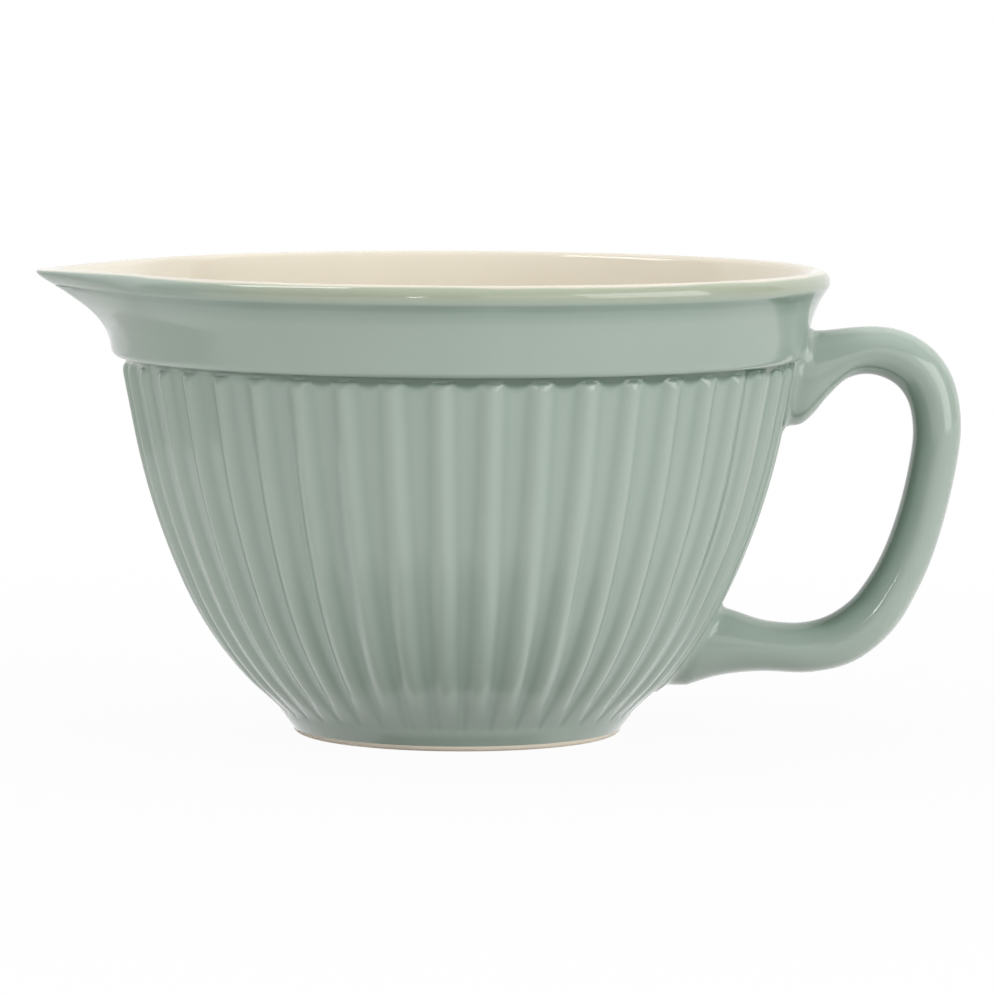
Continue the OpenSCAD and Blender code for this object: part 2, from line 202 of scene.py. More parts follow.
@dataclass(frozen=True)
class BowlForm:
    """Sizes of the cast bowl and the sections worked out from them."""

    height: float = 120.0
    rim_r: float = 95.18
    wall: float = 5.5
    floor_thickness: float = 6.0
    glaze: float = 0.5

    # The wall: straight under the band, then two arcs. Each share is of the ribbed wall's span.
    wall_set_in: float = 8.28
    straight_share: float = 0.197
    straight_in_share: float = 0.085
    belly_share: float = 0.364
    belly_out_share: float = 0.607

    # The ribs, which are narrower and lower over the foot, and the dished flutes between them.
    rib_count: int = 44
    rib_w: float = 5.6
    rib_foot_w: float = 4.0
    rib_h: float = 1.5
    rib_foot_h: float = 0.6
    rib_softness: float = 1.22
    rib_roundness: float = 0.7
    rib_foot_roundness: float = 0.5
    rib_gap: float = 0.6
    flute_dip: float = 0.2
    flute_foot_share: float = 0.2
    fade_h: float = 8.0

    # The foot: a bare ring with a recess inside it and a slope of glaze up to the ribs.
    foot_r: float = 39.8
    foot_ring_w: float = 5.0
    foot_edge_w: float = 2.7
    foot_flare_w: float = 3.5
    foot_h: float = 6.3
    recess: float = 2.8
    recess_draft: float = 0.6
    bare_h: float = 1.5

    # The ledge with the gap over the rib tops, the band, the lip and the opening.
    ledge_rise: float = 1.0
    ledge_fillet: float = 0.5
    ledge_root_angle: float = 160.0
    shade_h: float = 1.5
    scoop_h: float = 1.3
    band_h: float = 23.8
    band_step: float = 2.4
    band_edge_r: float = 2.2
    band_lean: float = 8.5
    band_plain_h: float = 7.8
    lip_r: float = 3.0
    lip_join_angle: float = -42.0
    lining_join_angle: float = -22.0
    opening_lean: float = 31.3
    turn_share: float = 0.9

    # The spout, which thins out towards its tip.
    spout_reach: float = 16.2
    spout_tip_r: float = 16.0
    spout_drop: float = 0.8
    spout_lag: float = 0.5
    spout_thinning: float = 0.45
    thinning_depth: float = 8.0

    flow_and_shade: GlazeFlowAndShade = GlazeFlowAndShade()
    detail: SectionSteps = SectionSteps()

    @property
    def ledge_z(self) -> float:
        """Height at which the ribbed wall's crest line ends."""
        return self.height - self.band_h

    @property
    def band_foot_z(self) -> float:
        """Height of the underside of the band, which leaves a gap over the round rib tops."""
        return self.ledge_z + self.ledge_rise

    @property
    def crest_top(self) -> Vector:
        """Where the line of the rib crests meets the ledge."""
        return Vector((self.rim_r - self.wall_set_in, self.ledge_z))

    @property
    def wall_span(self) -> Vector:
        """Way from the top of the foot to the top of the ribbed wall."""
        return self.crest_top - self.foot_top

    @property
    def belly_top(self) -> Vector:
        """Where the straight wall turns into the belly."""
        span = self.wall_span
        return self.crest_top - Vector((self.straight_in_share * span.x,
                                        self.straight_share * span.y))

    @property
    def belly_end(self) -> Vector:
        """Where the belly arc turns into the lower arc."""
        span = self.wall_span
        return self.foot_top + Vector((self.belly_out_share * span.x, self.belly_share * span.y))

    @property
    def lean_top(self) -> float:
        """Lean of the straight wall from the vertical, in degrees."""
        way = self.crest_top - self.belly_top
        return math.degrees(math.atan2(way.x, way.y))

    @property
    def belly_r(self) -> float:
        """Radius of the belly arc."""
        return arc_through(self.belly_top, lean_normal(self.lean_top), self.belly_end)

    @property
    def belly_centre(self) -> Vector:
        """Centre of the belly arc."""
        return self.belly_top - self.belly_r * lean_normal(self.lean_top)

    @property
    def lean_mid(self) -> float:
        """Lean of the wall where the belly turns towards the foot, in degrees."""
        way = self.belly_end - self.belly_centre
        return math.degrees(math.atan2(-way.y, way.x))

    @property
    def foot_inner_r(self) -> float:
        """Radius of the foot ring's inner edge, where the bowl stands."""
        return self.foot_r - self.foot_ring_w

    @property
    def foot_edge(self) -> Vector:
        """The lowest point of the glaze on the outside."""
        return Vector((self.foot_r + self.foot_edge_w, self.bare_h))

    @property
    def foot_top(self) -> Vector:
        """Where the ribs start over the foot."""
        return Vector((self.foot_edge.x + self.foot_flare_w, self.foot_h))

    @property
    def low_r(self) -> float:
        """Radius of the lower arc."""
        return arc_through(self.belly_end, lean_normal(self.lean_mid), self.foot_top)

    @property
    def low_centre(self) -> Vector:
        """Centre of the lower arc."""
        return self.belly_end - self.low_r * lean_normal(self.lean_mid)

    @property
    def lean_foot(self) -> float:
        """Lean of the wall where it meets the foot, in degrees."""
        way = self.foot_top - self.low_centre
        return math.degrees(math.atan2(-way.y, way.x))

    @property
    def edge_centre(self) -> Vector:
        """Centre of the band's round lower edge."""
        return Vector((self.crest_top.x + self.band_step - self.band_edge_r,
                       self.band_foot_z + self.band_edge_r))

    @property
    def lip_centre(self) -> Vector:
        """Centre of the rolled lip."""
        return Vector((self.rim_r - self.lip_r, self.height - self.lip_r))

    def crest_radius(self, z: float) -> float:
        """Radius of the rib crests at a height.

        Args:
            z: Height on the wall.

        Returns:
            The radius of the line that the crests follow.
        """
        if z > self.belly_top.y:
            return self.crest_top.x - (self.ledge_z - z) * math.tan(math.radians(self.lean_top))
        centre, r = self.low_centre, self.low_r
        if z > self.belly_end.y:
            centre, r = self.belly_centre, self.belly_r
        return centre.x + math.sqrt(r ** 2 - (z - centre.y) ** 2)

    def outer_radius(self, z: float) -> float:
        """Radius of the outside at a height.

        Args:
            z: Height on the wall or the band.

        Returns:
            The radius of the rib crests, or of the band's face above its underside.
        """
        if z < self.band_foot_z:
            return self.crest_radius(z)
        rise = max(0.0, z - self.edge_centre.y)
        return self.edge_centre.x + self.band_edge_r + rise * math.tan(math.radians(self.band_lean))

    def wall_share(self, z: float) -> float:
        """Share of the way from the foot up to the belly, which the ribs grow over."""
        return clamp01((z - self.foot_h) / (self.belly_end.y - self.foot_h))

    def foot_points(self) -> list[ProfilePoint]:
        """Section of the recess, the inside of the foot and the foot's slope up to the ribs.

        Returns:
            The points from the recess out to the top of the foot.
        """
        low = Vector((self.foot_inner_r - self.recess_draft * self.bare_h, self.bare_h))
        high = Vector((self.foot_inner_r - self.recess_draft * self.recess, self.recess))
        down = Vector((0.0, -1.0))
        slope = lean_normal(self.lean_foot)
        points = [ProfilePoint(high, down), ProfilePoint(low, down),
                  ProfilePoint(self.foot_edge, slope)]
        for t in steps(self.detail.foot_slope, 1)[:-1]:
            place = self.foot_edge.lerp(self.foot_top, t)
            points.append(ProfilePoint(place, slope, pool=self.flow_and_shade.plain))
        return points

    def wall_points(self) -> list[ProfilePoint]:
        """Section along the bottom of a flute, from the foot to the ledge.

        Returns:
            The points from the foot up.
        """
        points = []
        for t in steps(self.detail.low_arc):
            normal = lean_normal(blend(self.lean_foot, self.lean_mid, t))
            crest = self.low_centre + self.low_r * normal
            start = clamp01((crest.y - self.foot_h) / self.fade_h)
            points.append(self.flute_point(crest, normal, ease(start)))
        for t in steps(self.detail.belly, 1):
            normal = lean_normal(blend(self.lean_mid, self.lean_top, t))
            crest = self.belly_centre + self.belly_r * normal
            points.append(self.flute_point(crest, normal, 1.0))
        up = Vector((math.tan(math.radians(self.lean_top)), 1.0))
        normal = lean_normal(self.lean_top)
        rib_end = self.crest_top - (self.rib_gap + self.rib_w / 2) * up
        for t in steps(self.detail.straight, 1):
            points.append(self.flute_point(self.belly_top.lerp(rib_end, t), normal, 1.0))
        for t in steps(self.detail.rib_end, 1):
            fall = math.sqrt(max(0.0, 1.0 - t * t))
            points.append(self.flute_point(rib_end + t * self.rib_w / 2 * up, normal, fall))
        return points

    def flute_point(self, crest: Vector, normal: Vector, rib: float) -> ProfilePoint:
        """A point in a flute under a point of the crest line.

        Args:
            crest: Point of the crest line.
            normal: Outward normal there.
            rib: Share of its full height that a rib has there.

        Returns:
            The point at the bottom of the flute.
        """
        start = clamp01((crest.y - self.foot_h) / self.fade_h + self.flute_foot_share)
        flute = blend(self.rib_foot_h, self.rib_h, self.wall_share(crest.y)) * start
        return ProfilePoint(crest - flute * normal, normal, flute=flute, rib=rib)

    def band_points(self) -> list[ProfilePoint]:
        """Section of the ledge, the band and the outside of the lip.

        Returns:
            The points from the ledge up to where the lining starts.
        """
        points = []
        flow_and_shade = self.flow_and_shade
        root = self.crest_top - self.rib_h * lean_normal(self.lean_top)
        bend = Vector((root.x + self.ledge_fillet, self.band_foot_z - self.ledge_fillet))
        # Painted shade in the corner under the band and on its underside, giving way round the
        # band's edge.
        for t in steps(self.detail.ledge):
            inward = compass(blend(self.ledge_root_angle, 90.0, t))
            points.append(ProfilePoint(bend + self.ledge_fillet * inward, -inward, pool=flow_and_shade.ledge))
        for t in steps(self.detail.band_edge):
            normal = compass(blend(-90.0, -self.band_lean, t))
            round_edge = math.sin(math.pi * min(1.0, t * flow_and_shade.band_foot_fade) / 2)
            points.append(ProfilePoint(self.edge_centre + self.band_edge_r * normal, normal,
                                       pool=blend(flow_and_shade.band_foot, flow_and_shade.plain, round_edge)))
        face = lean_normal(self.band_lean)
        foot = self.edge_centre + self.band_edge_r * face
        rise = self.ledge_z + self.band_plain_h - foot.y
        start = foot + rise * Vector((math.tan(math.radians(self.band_lean)), 1.0))
        for t in steps(self.detail.band_face, 1):
            points.append(ProfilePoint(foot.lerp(start, t), face, pool=flow_and_shade.plain))
        join = self.lip_centre + self.lip_r * compass(self.lip_join_angle)
        flare_r = arc_through(start, face, join)
        centre = start + flare_r * face
        end = math.degrees(math.acos((centre.x - join.x) / flare_r))
        # Painted shade gathers in the hollow under the lip and fades out over the lip.
        for t in steps(self.detail.flare, 1):
            normal = lean_normal(blend(self.band_lean, end, t))
            undercut = clamp01((t - flow_and_shade.undercut_start) / flow_and_shade.undercut_fade)
            points.append(ProfilePoint(centre - flare_r * normal, normal,
                                       pool=blend(flow_and_shade.plain, flow_and_shade.undercut, undercut)))
        for t in steps(self.detail.lip, 1):
            angle = blend(self.lip_join_angle, self.lining_join_angle, t)
            points.append(replace(self.lip_point(angle, 0.0),
                                  pool=blend(flow_and_shade.undercut, flow_and_shade.even, t)))
        return points

    def lip_point(self, angle: float, sunk: float) -> ProfilePoint:
        """A point on the rolled lip.

        Args:
            angle: Direction from the lip's centre in degrees, 0 outwards and 90 up.
            sunk: Depth under the glazed surface.

        Returns:
            The point, with its distance round the lip.
        """
        place = self.lip_centre + (self.lip_r - sunk) * compass(angle)
        depth = self.lip_r * (1.0 - math.cos(math.radians(angle)))
        round_lip = math.radians(90.0 - angle) * self.lip_r
        return ProfilePoint(place, compass(angle), depth=depth, lip=round_lip)

    def inside_points(self, sunk: float, fine: bool) -> list[ProfilePoint]:
        """Section from the lining's edge over the lip and down to the floor.

        Args:
            sunk: Depth under the glazed surface.
            fine: Whether the section is seen and needs its full number of points.

        Returns:
            The points from the lip down to the edge of the floor.
        """
        n = self.detail.seen_inside if fine else 1
        roll, opening, inside = (n * count for count in (
            self.detail.roll, self.detail.opening, self.detail.inside))
        roll_end = 180.0 - self.opening_lean
        points = [self.lip_point(blend(self.lining_join_angle, roll_end, t), sunk)
                  for t in steps(roll)]
        deep = {"depth": 2.0 * self.lip_r, "lip": FAR_INSIDE_LIP}
        normal = lean_normal(self.lean_top)
        top = self.crest_top - self.wall * normal
        lip_inner = self.lip_centre + self.lip_r * compass(roll_end)
        opening_r = arc_through(top, normal, lip_inner)
        centre = top + opening_r * normal
        end = math.degrees(math.acos((centre.x - lip_inner.x) / opening_r))
        for t in steps(opening, 1):
            out = lean_normal(blend(end, self.lean_top, t))
            points.append(ProfilePoint(centre - (opening_r - sunk) * out, -out, **deep))
        for t in steps(inside):
            out = lean_normal(blend(self.lean_top, self.lean_mid, t))
            place = self.belly_centre + (self.belly_r - self.wall + sunk) * out
            points.append(ProfilePoint(place, -out, **deep))
        floor_z = self.recess + self.floor_thickness
        start = blend(self.lean_mid, self.lean_foot, self.turn_share)
        turn_top = self.low_centre + (self.low_r - self.wall) * lean_normal(start)
        turn_r = (turn_top.y - floor_z) / (1.0 - math.sin(math.radians(start)))
        turn = turn_top - turn_r * lean_normal(start)
        for t in steps(inside, 1):
            out = lean_normal(blend(self.lean_mid, start, t))
            place = self.low_centre + (self.low_r - self.wall + sunk) * out
            points.append(ProfilePoint(place, -out, **deep))
        for t in steps(inside, 1):
            out = lean_normal(blend(start, 90.0, t))
            points.append(ProfilePoint(turn + (turn_r + sunk) * out, -out, **deep))
        for t in steps(inside, 1)[:-1]:
            place = Vector((turn.x * (1.0 - t), floor_z - sunk))
            points.append(ProfilePoint(place, Vector((0.0, 1.0)), **deep))
        return points

    def spout_radius(self, r: float, tip: float, reach: float, away: float) -> float:
        """Radius of an outline that leaves a circle along its tangents and ends in a round tip.

        Args:
            r: Radius of the circle.
            tip: Radius of the tip.
            reach: Distance of the tip from the axis.
            away: Angle from the tip in radians.

        Returns:
            The outline's radius in that direction.
        """
        if reach - r < TINY:
            return r
        centre = reach - tip
        turn = math.acos((r - tip) / centre)
        tip_turn = math.atan2(tip * math.sin(turn), centre + tip * math.cos(turn))
        if away >= turn:
            return r
        if away >= tip_turn:
            return r / math.cos(turn - away)
        return centre * math.cos(away) + math.sqrt(tip ** 2 - (centre * math.sin(away)) ** 2)

    def ribbed(self, point: ProfilePoint, angle: float) -> tuple[Vector, float]:
        """Where a point of the wall lies once the ribs stand on it.

        Args:
            point: The point at the bottom of a flute.
            angle: Angle round the axis in radians.

        Returns:
            Radius and height, and how thick the glaze lies there with its painted shade.
        """
        flow_and_shade = self.flow_and_shade
        pitch = 2.0 * math.pi / self.rib_count
        across = abs((angle / pitch) % 1.0 - 0.5) * pitch * point.place.x
        share = self.wall_share(point.place.y)
        half = blend(self.rib_foot_w, self.rib_w, share) / 2.0
        t = clamp01(across / half / self.rib_softness)
        roundness = blend(self.rib_foot_roundness, self.rib_roundness, share)
        bump = (0.5 + 0.5 * math.cos(math.pi * t)) ** roundness
        u = clamp01((across - half) / (pitch * point.place.x / 2.0 - half))
        dish = math.sin(u * math.pi / 2)
        raised = point.flute * bump * point.rib - self.flute_dip * dish
        place = point.place + raised * point.normal
        root = math.exp(-((across / half - flow_and_shade.rib_root_at) / flow_and_shade.rib_root_spread) ** 2)
        pool = flow_and_shade.even + flow_and_shade.rib_root * root - flow_and_shade.rib_top * bump * point.rib
        # Painted shade in the gap under the band, over the rib tops and deeper in the flutes,
        # fading out towards the spout.
        under = (self.band_foot_z - place.y) / (self.shade_h + self.scoop_h * dish)
        dark = clamp01((flow_and_shade.shade_end - under) / flow_and_shade.shade_fade)
        dark *= clamp01((place.x * math.cos(angle) - flow_and_shade.shade_start_x) / flow_and_shade.shade_start_w)
        return place, clamp01(pool + flow_and_shade.shade * ease(dark))

    def place(self, point: ProfilePoint, angle: float) -> tuple[Vector, float]:
        """Where a point of the section lies when it is turned to an angle.

        Args:
            point: The point of the section.
            angle: Angle round the axis in radians.

        Returns:
            The place in metres, and how thick the glaze lies there with its painted shade.
        """
        place, pool = point.place, point.pool
        if point.flute > 0.0:
            place, pool = self.ribbed(point, angle)
        out = clamp01((place.y - self.spout_lag * point.depth - self.edge_centre.y)
                      / (self.height - self.edge_centre.y)) ** 2 * self.spout_reach
        away = abs(math.pi - angle % (2.0 * math.pi))
        r = self.spout_radius(place.x, self.spout_tip_r - point.depth, place.x + out, away)
        pulled = (r - place.x) / self.spout_reach
        under = self.height - place.y
        fade = max(0.0, 1.0 - under / self.thinning_depth)
        thinned = self.spout_thinning * pulled * under * fade
        z = place.y + thinned - self.spout_drop * pulled
        return Vector((r * math.cos(angle), r * math.sin(angle), z)) * MM, pool


def srgb(hex_colour: str) -> tuple[float, float, float, float]:
    """Linear colour of an sRGB hex value.

    Args:
        hex_colour: The value, such as "#a3b7a8".

    Returns:
        Red, green, blue and an alpha of 1.
    """
    parts = [int(hex_colour[i:i + 2], 16) / 255.0 for i in (1, 3, 5)]
    linear = [c / 12.92 if c <= 0.04045 else ((c + 0.055) / 1.055) ** 2.4 for c in parts]
    return (*linear, 1.0)


def new_material(name: str) -> tuple[bpy.types.Material, bpy.types.NodeTree]:
    """Makes a material with an empty node tree.

    Args:
        name: Its name.

    Returns:
        The material and its tree.
    """
    material = bpy.data.materials.new(name)
    material.use_nodes = True
    material.node_tree.nodes.clear()
    return material, material.node_tree


def add_node(tree: bpy.types.NodeTree, kind: str, settings: dict | None = None,
             links: dict | None = None) -> bpy.types.Node:
    """Adds a node to a material's tree.

    Args:
        tree: The node tree.
        kind: Blender's name for the kind of node.
        settings: Attribute names, or input sockets by name or number, with their values, and
            `stops` with the places and colours of a ramp.
        links: Input sockets by name or number, with the output sockets or numbers that feed them.

    Returns:
        The new node.
    """
    node = tree.nodes.new(kind)
    for name, value in (settings or {}).items():
        if name == "stops":
            while len(node.color_ramp.elements) < len(value):
                node.color_ramp.elements.new(1.0)
            for element, (place, colour) in zip(node.color_ramp.elements, value):
                element.position, element.color = place, colour
        elif isinstance(name, str) and hasattr(node, name):
            setattr(node, name, value)
        else:
            node.inputs[name].default_value = value
    for name, source in (links or {}).items():
        if isinstance(source, bpy.types.NodeSocket):
            tree.links.new(source, node.inputs[name])
        else:
            node.inputs[name].default_value = source
    return node


def overlap_share(tree: bpy.types.NodeTree, coords: bpy.types.NodeSocket) -> bpy.types.NodeSocket:
    """Adds the nodes for the stretch of the lip where the two glazes overlap.

    Args:
        tree: The material's tree.
        coords: Socket with the place on the piece.

    Returns:
        The socket with the share, 0 at the spout and 1 on the rest of the lip.
    """
    side = add_node(tree, "ShaderNodeSeparateXYZ", {}, {0: coords})
    share = add_node(tree, "ShaderNodeMapRange",
                     {"From Min": OVERLAP_START_MM * MM, "From Max": OVERLAP_END_MM * MM},
                     {"Value": side.outputs["X"]})
    return share.outputs["Result"]


@dataclass(frozen=True)
class Glaze:
    """Glossy stoneware glaze, dipped: it thins on edges and pools in grooves.

    Its deeper tones also serve as painted shade.

    Attributes:
        name: Name of the material.
        thin: Tone on an edge, where the clay shows through.
        body: Tone at the even thickness.
        pooled_and_shaded: Tone where it gathers, and where painted shade sets in.
        deep: Tone of the deepest painted shade, under the band and inside the handle's loop.
        lip_tone: Tone on the lip, where the cream lies over it.
        body_at: How thick it lies where it has the body's tone.
        pooled_at: How thick it lies where it has the pooled tone.
        wave_mm: Width of the shallow waves that dipping and drying leave.
        wave_height_mm: Their height.
        mottle_mm: Width of the patches in which the thickness wanders.
        mottle_share: How much it wanders.
        lip_start_mm: How far down the outside of the lip the cream starts to fade.
        lip_end_mm: How far down the last of it reaches.
    """

    name: str
    thin: str
    body: str
    pooled_and_shaded: str
    deep: str
    lip_tone: str
    body_at: float = 0.35
    pooled_at: float = 0.65
    roughness: float = 0.09
    ior: float = 1.5
    wave_mm: float = 9.0
    wave_height_mm: float = 0.03
    mottle_mm: float = 26.0
    mottle_share: float = 0.16
    lip_start_mm: float = 4.9
    lip_end_mm: float = 6.9

    def material(self) -> bpy.types.Material:
        """Builds the material, whose colour follows the mesh's `pool` attribute.

        Returns:
            The material.
        """
        material, tree = new_material(self.name)
        coords = add_node(tree, "ShaderNodeTexCoord").outputs["Object"]
        pool = add_node(tree, "ShaderNodeAttribute", {"attribute_name": "pool"})
        mottle = add_node(tree, "ShaderNodeTexNoise",
                          {"Scale": 1.0 / (self.mottle_mm * MM), "Detail": 3.0}, {"Vector": coords})
        shift = add_node(tree, "ShaderNodeMath",
                         {"operation": "MULTIPLY_ADD", 1: self.mottle_share,
                          2: -self.mottle_share / 2}, {0: mottle.outputs["Fac"]})
        thick = add_node(tree, "ShaderNodeMath", {"operation": "ADD", "use_clamp": True},
                         {0: pool.outputs["Fac"], 1: shift.outputs[0]})
        tones = add_node(tree, "ShaderNodeValToRGB",
                         {"stops": ((0.0, srgb(self.thin)), (self.body_at, srgb(self.body)),
                                    (self.pooled_at, srgb(self.pooled_and_shaded)), (1.0, srgb(self.deep)))},
                         {"Fac": thick.outputs[0]})
        lip = add_node(tree, "ShaderNodeAttribute", {"attribute_name": "lip"})
        near_lip = add_node(tree, "ShaderNodeMapRange",
                            {"From Min": self.lip_start_mm, "From Max": self.lip_end_mm,
                             "To Min": 1.0, "To Max": 0.0}, {"Value": lip.outputs["Fac"]})
        overlap = add_node(tree, "ShaderNodeMath", {"operation": "MULTIPLY"},
                           {0: near_lip.outputs["Result"], 1: overlap_share(tree, coords)})
        colour = add_node(tree, "ShaderNodeMix", {"data_type": "RGBA", 7: srgb(self.lip_tone)},
                          {"Factor": overlap.outputs[0], 6: tones.outputs["Color"]})
        wave = add_node(tree, "ShaderNodeTexNoise",
                        {"Scale": 1.0 / (self.wave_mm * MM), "Detail": 1.0}, {"Vector": coords})
        bump = add_node(tree, "ShaderNodeBump",
                        {"Strength": 1.0, "Distance": self.wave_height_mm * MM},
                        {"Height": wave.outputs["Fac"]})
        shader = add_node(tree, "ShaderNodeBsdfPrincipled",
                          {"Roughness": self.roughness, "IOR": self.ior},
                          {"Base Color": colour.outputs[2], "Normal": bump.outputs["Normal"]})
        add_node(tree, "ShaderNodeOutputMaterial", {}, {"Surface": shader.outputs["BSDF"]})
        return material


@dataclass(frozen=True)
class CreamGlaze:
    """Glossy cream glaze, poured in: it covers the lip and meets the sage in a soft line.

    Attributes:
        name: Name of the material.
        cream: Its main tone.
        warm: The tone that it drifts to over the inside.
        edge: Tone where it lies thin over the sage.
        sage: Tone of the glaze outside it.
        line_mm: How far down the outside of the lip its line lies.
        fade_mm: How wide the line is.
        blend_end_mm: How far down the thin edge reaches.
        edge_at: Share of the thin edge after which the sage comes through.
        wander_mm: How far the line wanders up and down.
        wander_length_mm: Over what length it does.
        drift_mm: Over what length the tone drifts.
        clear_share: How much of the line counts as none, so that the inside stays cream.
    """

    name: str
    cream: str
    warm: str
    edge: str
    sage: str
    line_mm: float = 1.7
    fade_mm: float = 1.0
    blend_end_mm: float = 6.9
    edge_at: float = 0.6
    wander_mm: float = 0.7
    wander_length_mm: float = 28.0
    drift_mm: float = 35.0
    clear_share: float = 0.001
    roughness: float = 0.08
    ior: float = 1.5

    def material(self) -> bpy.types.Material:
        """Builds the material, whose border follows the mesh's `lip` attribute in millimetres.

        Returns:
            The material.
        """
        material, tree = new_material(self.name)
        cream, warm, edge, sage = map(srgb, (self.cream, self.warm, self.edge, self.sage))
        coords = add_node(tree, "ShaderNodeTexCoord").outputs["Object"]
        lip = add_node(tree, "ShaderNodeAttribute", {"attribute_name": "lip"})
        wander, drift = (
            add_node(tree, "ShaderNodeTexNoise", {"Scale": 1.0 / (length * MM), "Detail": 2.0},
                     {"Vector": coords}) for length in (self.wander_length_mm, self.drift_mm))
        shifted = add_node(tree, "ShaderNodeMath",
                           {"operation": "MULTIPLY_ADD", 1: 2.0 * self.wander_mm},
                           {0: wander.outputs["Fac"], 2: lip.outputs["Fac"]})
        down = add_node(tree, "ShaderNodeMapRange",
                        {"From Min": self.line_mm - self.fade_mm / 2 + self.wander_mm,
                         "From Max": self.blend_end_mm + self.wander_mm},
                        {"Value": shifted.outputs[0]}).outputs["Result"]
        inside = add_node(tree, "ShaderNodeMix", {"data_type": "RGBA", 6: cream, 7: warm},
                          {"Factor": drift.outputs["Fac"]})
        full = self.fade_mm / (self.blend_end_mm - self.line_mm + self.fade_mm / 2)
        sharp, thin = (
            add_node(tree, "ShaderNodeValToRGB", {"stops": stops}, {"Fac": down}) for stops in (
                ((0.0, cream), (full, sage), (1.0, sage)),
                ((0.0, cream), (full, edge), (self.edge_at, edge), (1.0, sage))))
        outside = add_node(tree, "ShaderNodeMix", {"data_type": "RGBA"},
                           {"Factor": overlap_share(tree, coords),
                            6: sharp.outputs["Color"], 7: thin.outputs["Color"]})
        border = add_node(tree, "ShaderNodeMath",
                          {"operation": "GREATER_THAN", 1: self.clear_share}, {0: down})
        colour = add_node(tree, "ShaderNodeMix", {"data_type": "RGBA"},
                          {"Factor": border.outputs[0], 6: inside.outputs[2],
                           7: outside.outputs[2]})
        shader = add_node(tree, "ShaderNodeBsdfPrincipled",
                          {"Roughness": self.roughness, "IOR": self.ior},
                          {"Base Color": colour.outputs[2]})
        add_node(tree, "ShaderNodeOutputMaterial", {}, {"Surface": shader.outputs["BSDF"]})
        return material


@dataclass(frozen=True)
class BareStoneware:
    """Fired clay wiped clean of glaze: matt, pale and faintly gritty.

    Attributes:
        name: Name of the material.
        clay: Its main tone.
        speck: Tone of its grit.
        grit_mm: Size of the grit, drawn about twice as coarse as it is so that it shows.
        grit_height_mm: Height of the grit.
    """

    name: str
    clay: str
    speck: str
    grit_mm: float = 0.5
    grit_height_mm: float = 0.04
    roughness: float = 0.75
    ior: float = 1.5

    def material(self) -> bpy.types.Material:
        """Builds the material.

        Returns:
            The material.
        """
        material, tree = new_material(self.name)
        coords = add_node(tree, "ShaderNodeTexCoord")
        grit = add_node(tree, "ShaderNodeTexNoise",
                        {"Scale": 1.0 / (self.grit_mm * MM), "Detail": 3.0},
                        {"Vector": coords.outputs["Object"]})
        colour = add_node(tree, "ShaderNodeMix",
                          {"data_type": "RGBA", 6: srgb(self.speck), 7: srgb(self.clay)},
                          {"Factor": grit.outputs["Fac"]})
        bump = add_node(tree, "ShaderNodeBump",
                        {"Strength": 1.0, "Distance": self.grit_height_mm * MM},
                        {"Height": grit.outputs["Fac"]})
        shader = add_node(tree, "ShaderNodeBsdfPrincipled",
                          {"Roughness": self.roughness, "IOR": self.ior},
                          {"Base Color": colour.outputs[2], "Normal": bump.outputs["Normal"]})
        add_node(tree, "ShaderNodeOutputMaterial", {}, {"Surface": shader.outputs["BSDF"]})
        return material


# Stoneware dipped in a sage glaze: a wet gloss with sharp window lights, chalky green on the rib
# tops, grey-green in the flutes and painted shade in nearly black-green in the gap under the band.
SAGE = Glaze(name="dipped_sage_glaze", thin="#afbcb1", body="#a2b1a6", pooled_and_shaded="#93a599",
             deep="#5e7464", lip_tone="#adb5a1")

# The same dip on the handle, with painted shade inside the loop and painted light outside it.
SAGE_HANDLE = replace(SAGE, name="dipped_sage_glaze_on_handle")

# Stoneware lined with a poured cream glaze: as glossy, warm and even, with an olive line on the
# lip where it lies thin over the sage.
CREAM = CreamGlaze(name="poured_cream_glaze", cream="#e3dccb", warm="#dad1c0", edge="#adb5a1",
                   sage="#a2b1a6")

# Stoneware wiped bare before firing: a dry, pale line under the gloss.
CLAY = BareStoneware(name="bare_fired_stoneware", clay="#fff6ea", speck="#f4e4d0")


def finish_mesh(mesh_maker: bmesh.types.BMesh, name: str, material: bpy.types.Material,
                sharp_angle: float = 50.0) -> bpy.types.Object:
    """Turns a bmesh into a smooth piece of the object.

    Args:
        mesh_maker: The bmesh, which is freed.
        name: Name of the piece.
        material: Its material.
        sharp_angle: Edges that turn more than this, in degrees, stay sharp.

    Returns:
        The new object.
    """
    bmesh.ops.recalc_face_normals(mesh_maker, faces=mesh_maker.faces)
    mesh = bpy.data.meshes.new(name)
    mesh_maker.to_mesh(mesh)
    mesh_maker.free()
    mesh.shade_smooth()
    mesh.set_sharp_from_angle(angle=math.radians(sharp_angle))
    mesh.materials.append(material)
    piece = bpy.data.objects.new(name, mesh)
    bpy.context.scene.collection.objects.link(piece)
    return piece


def dress(piece: bpy.types.Object, slot: str, *nodes: str) -> bpy.types.Object:
    """Ties a piece to the frame.

    Args:
        piece: The new piece.
        slot: The record's material slot, which is not used.
        nodes: CAD nodes that it stands for.

    Returns:
        The piece.
    """
    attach(piece, ROOT)
    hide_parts(*nodes)
    return piece


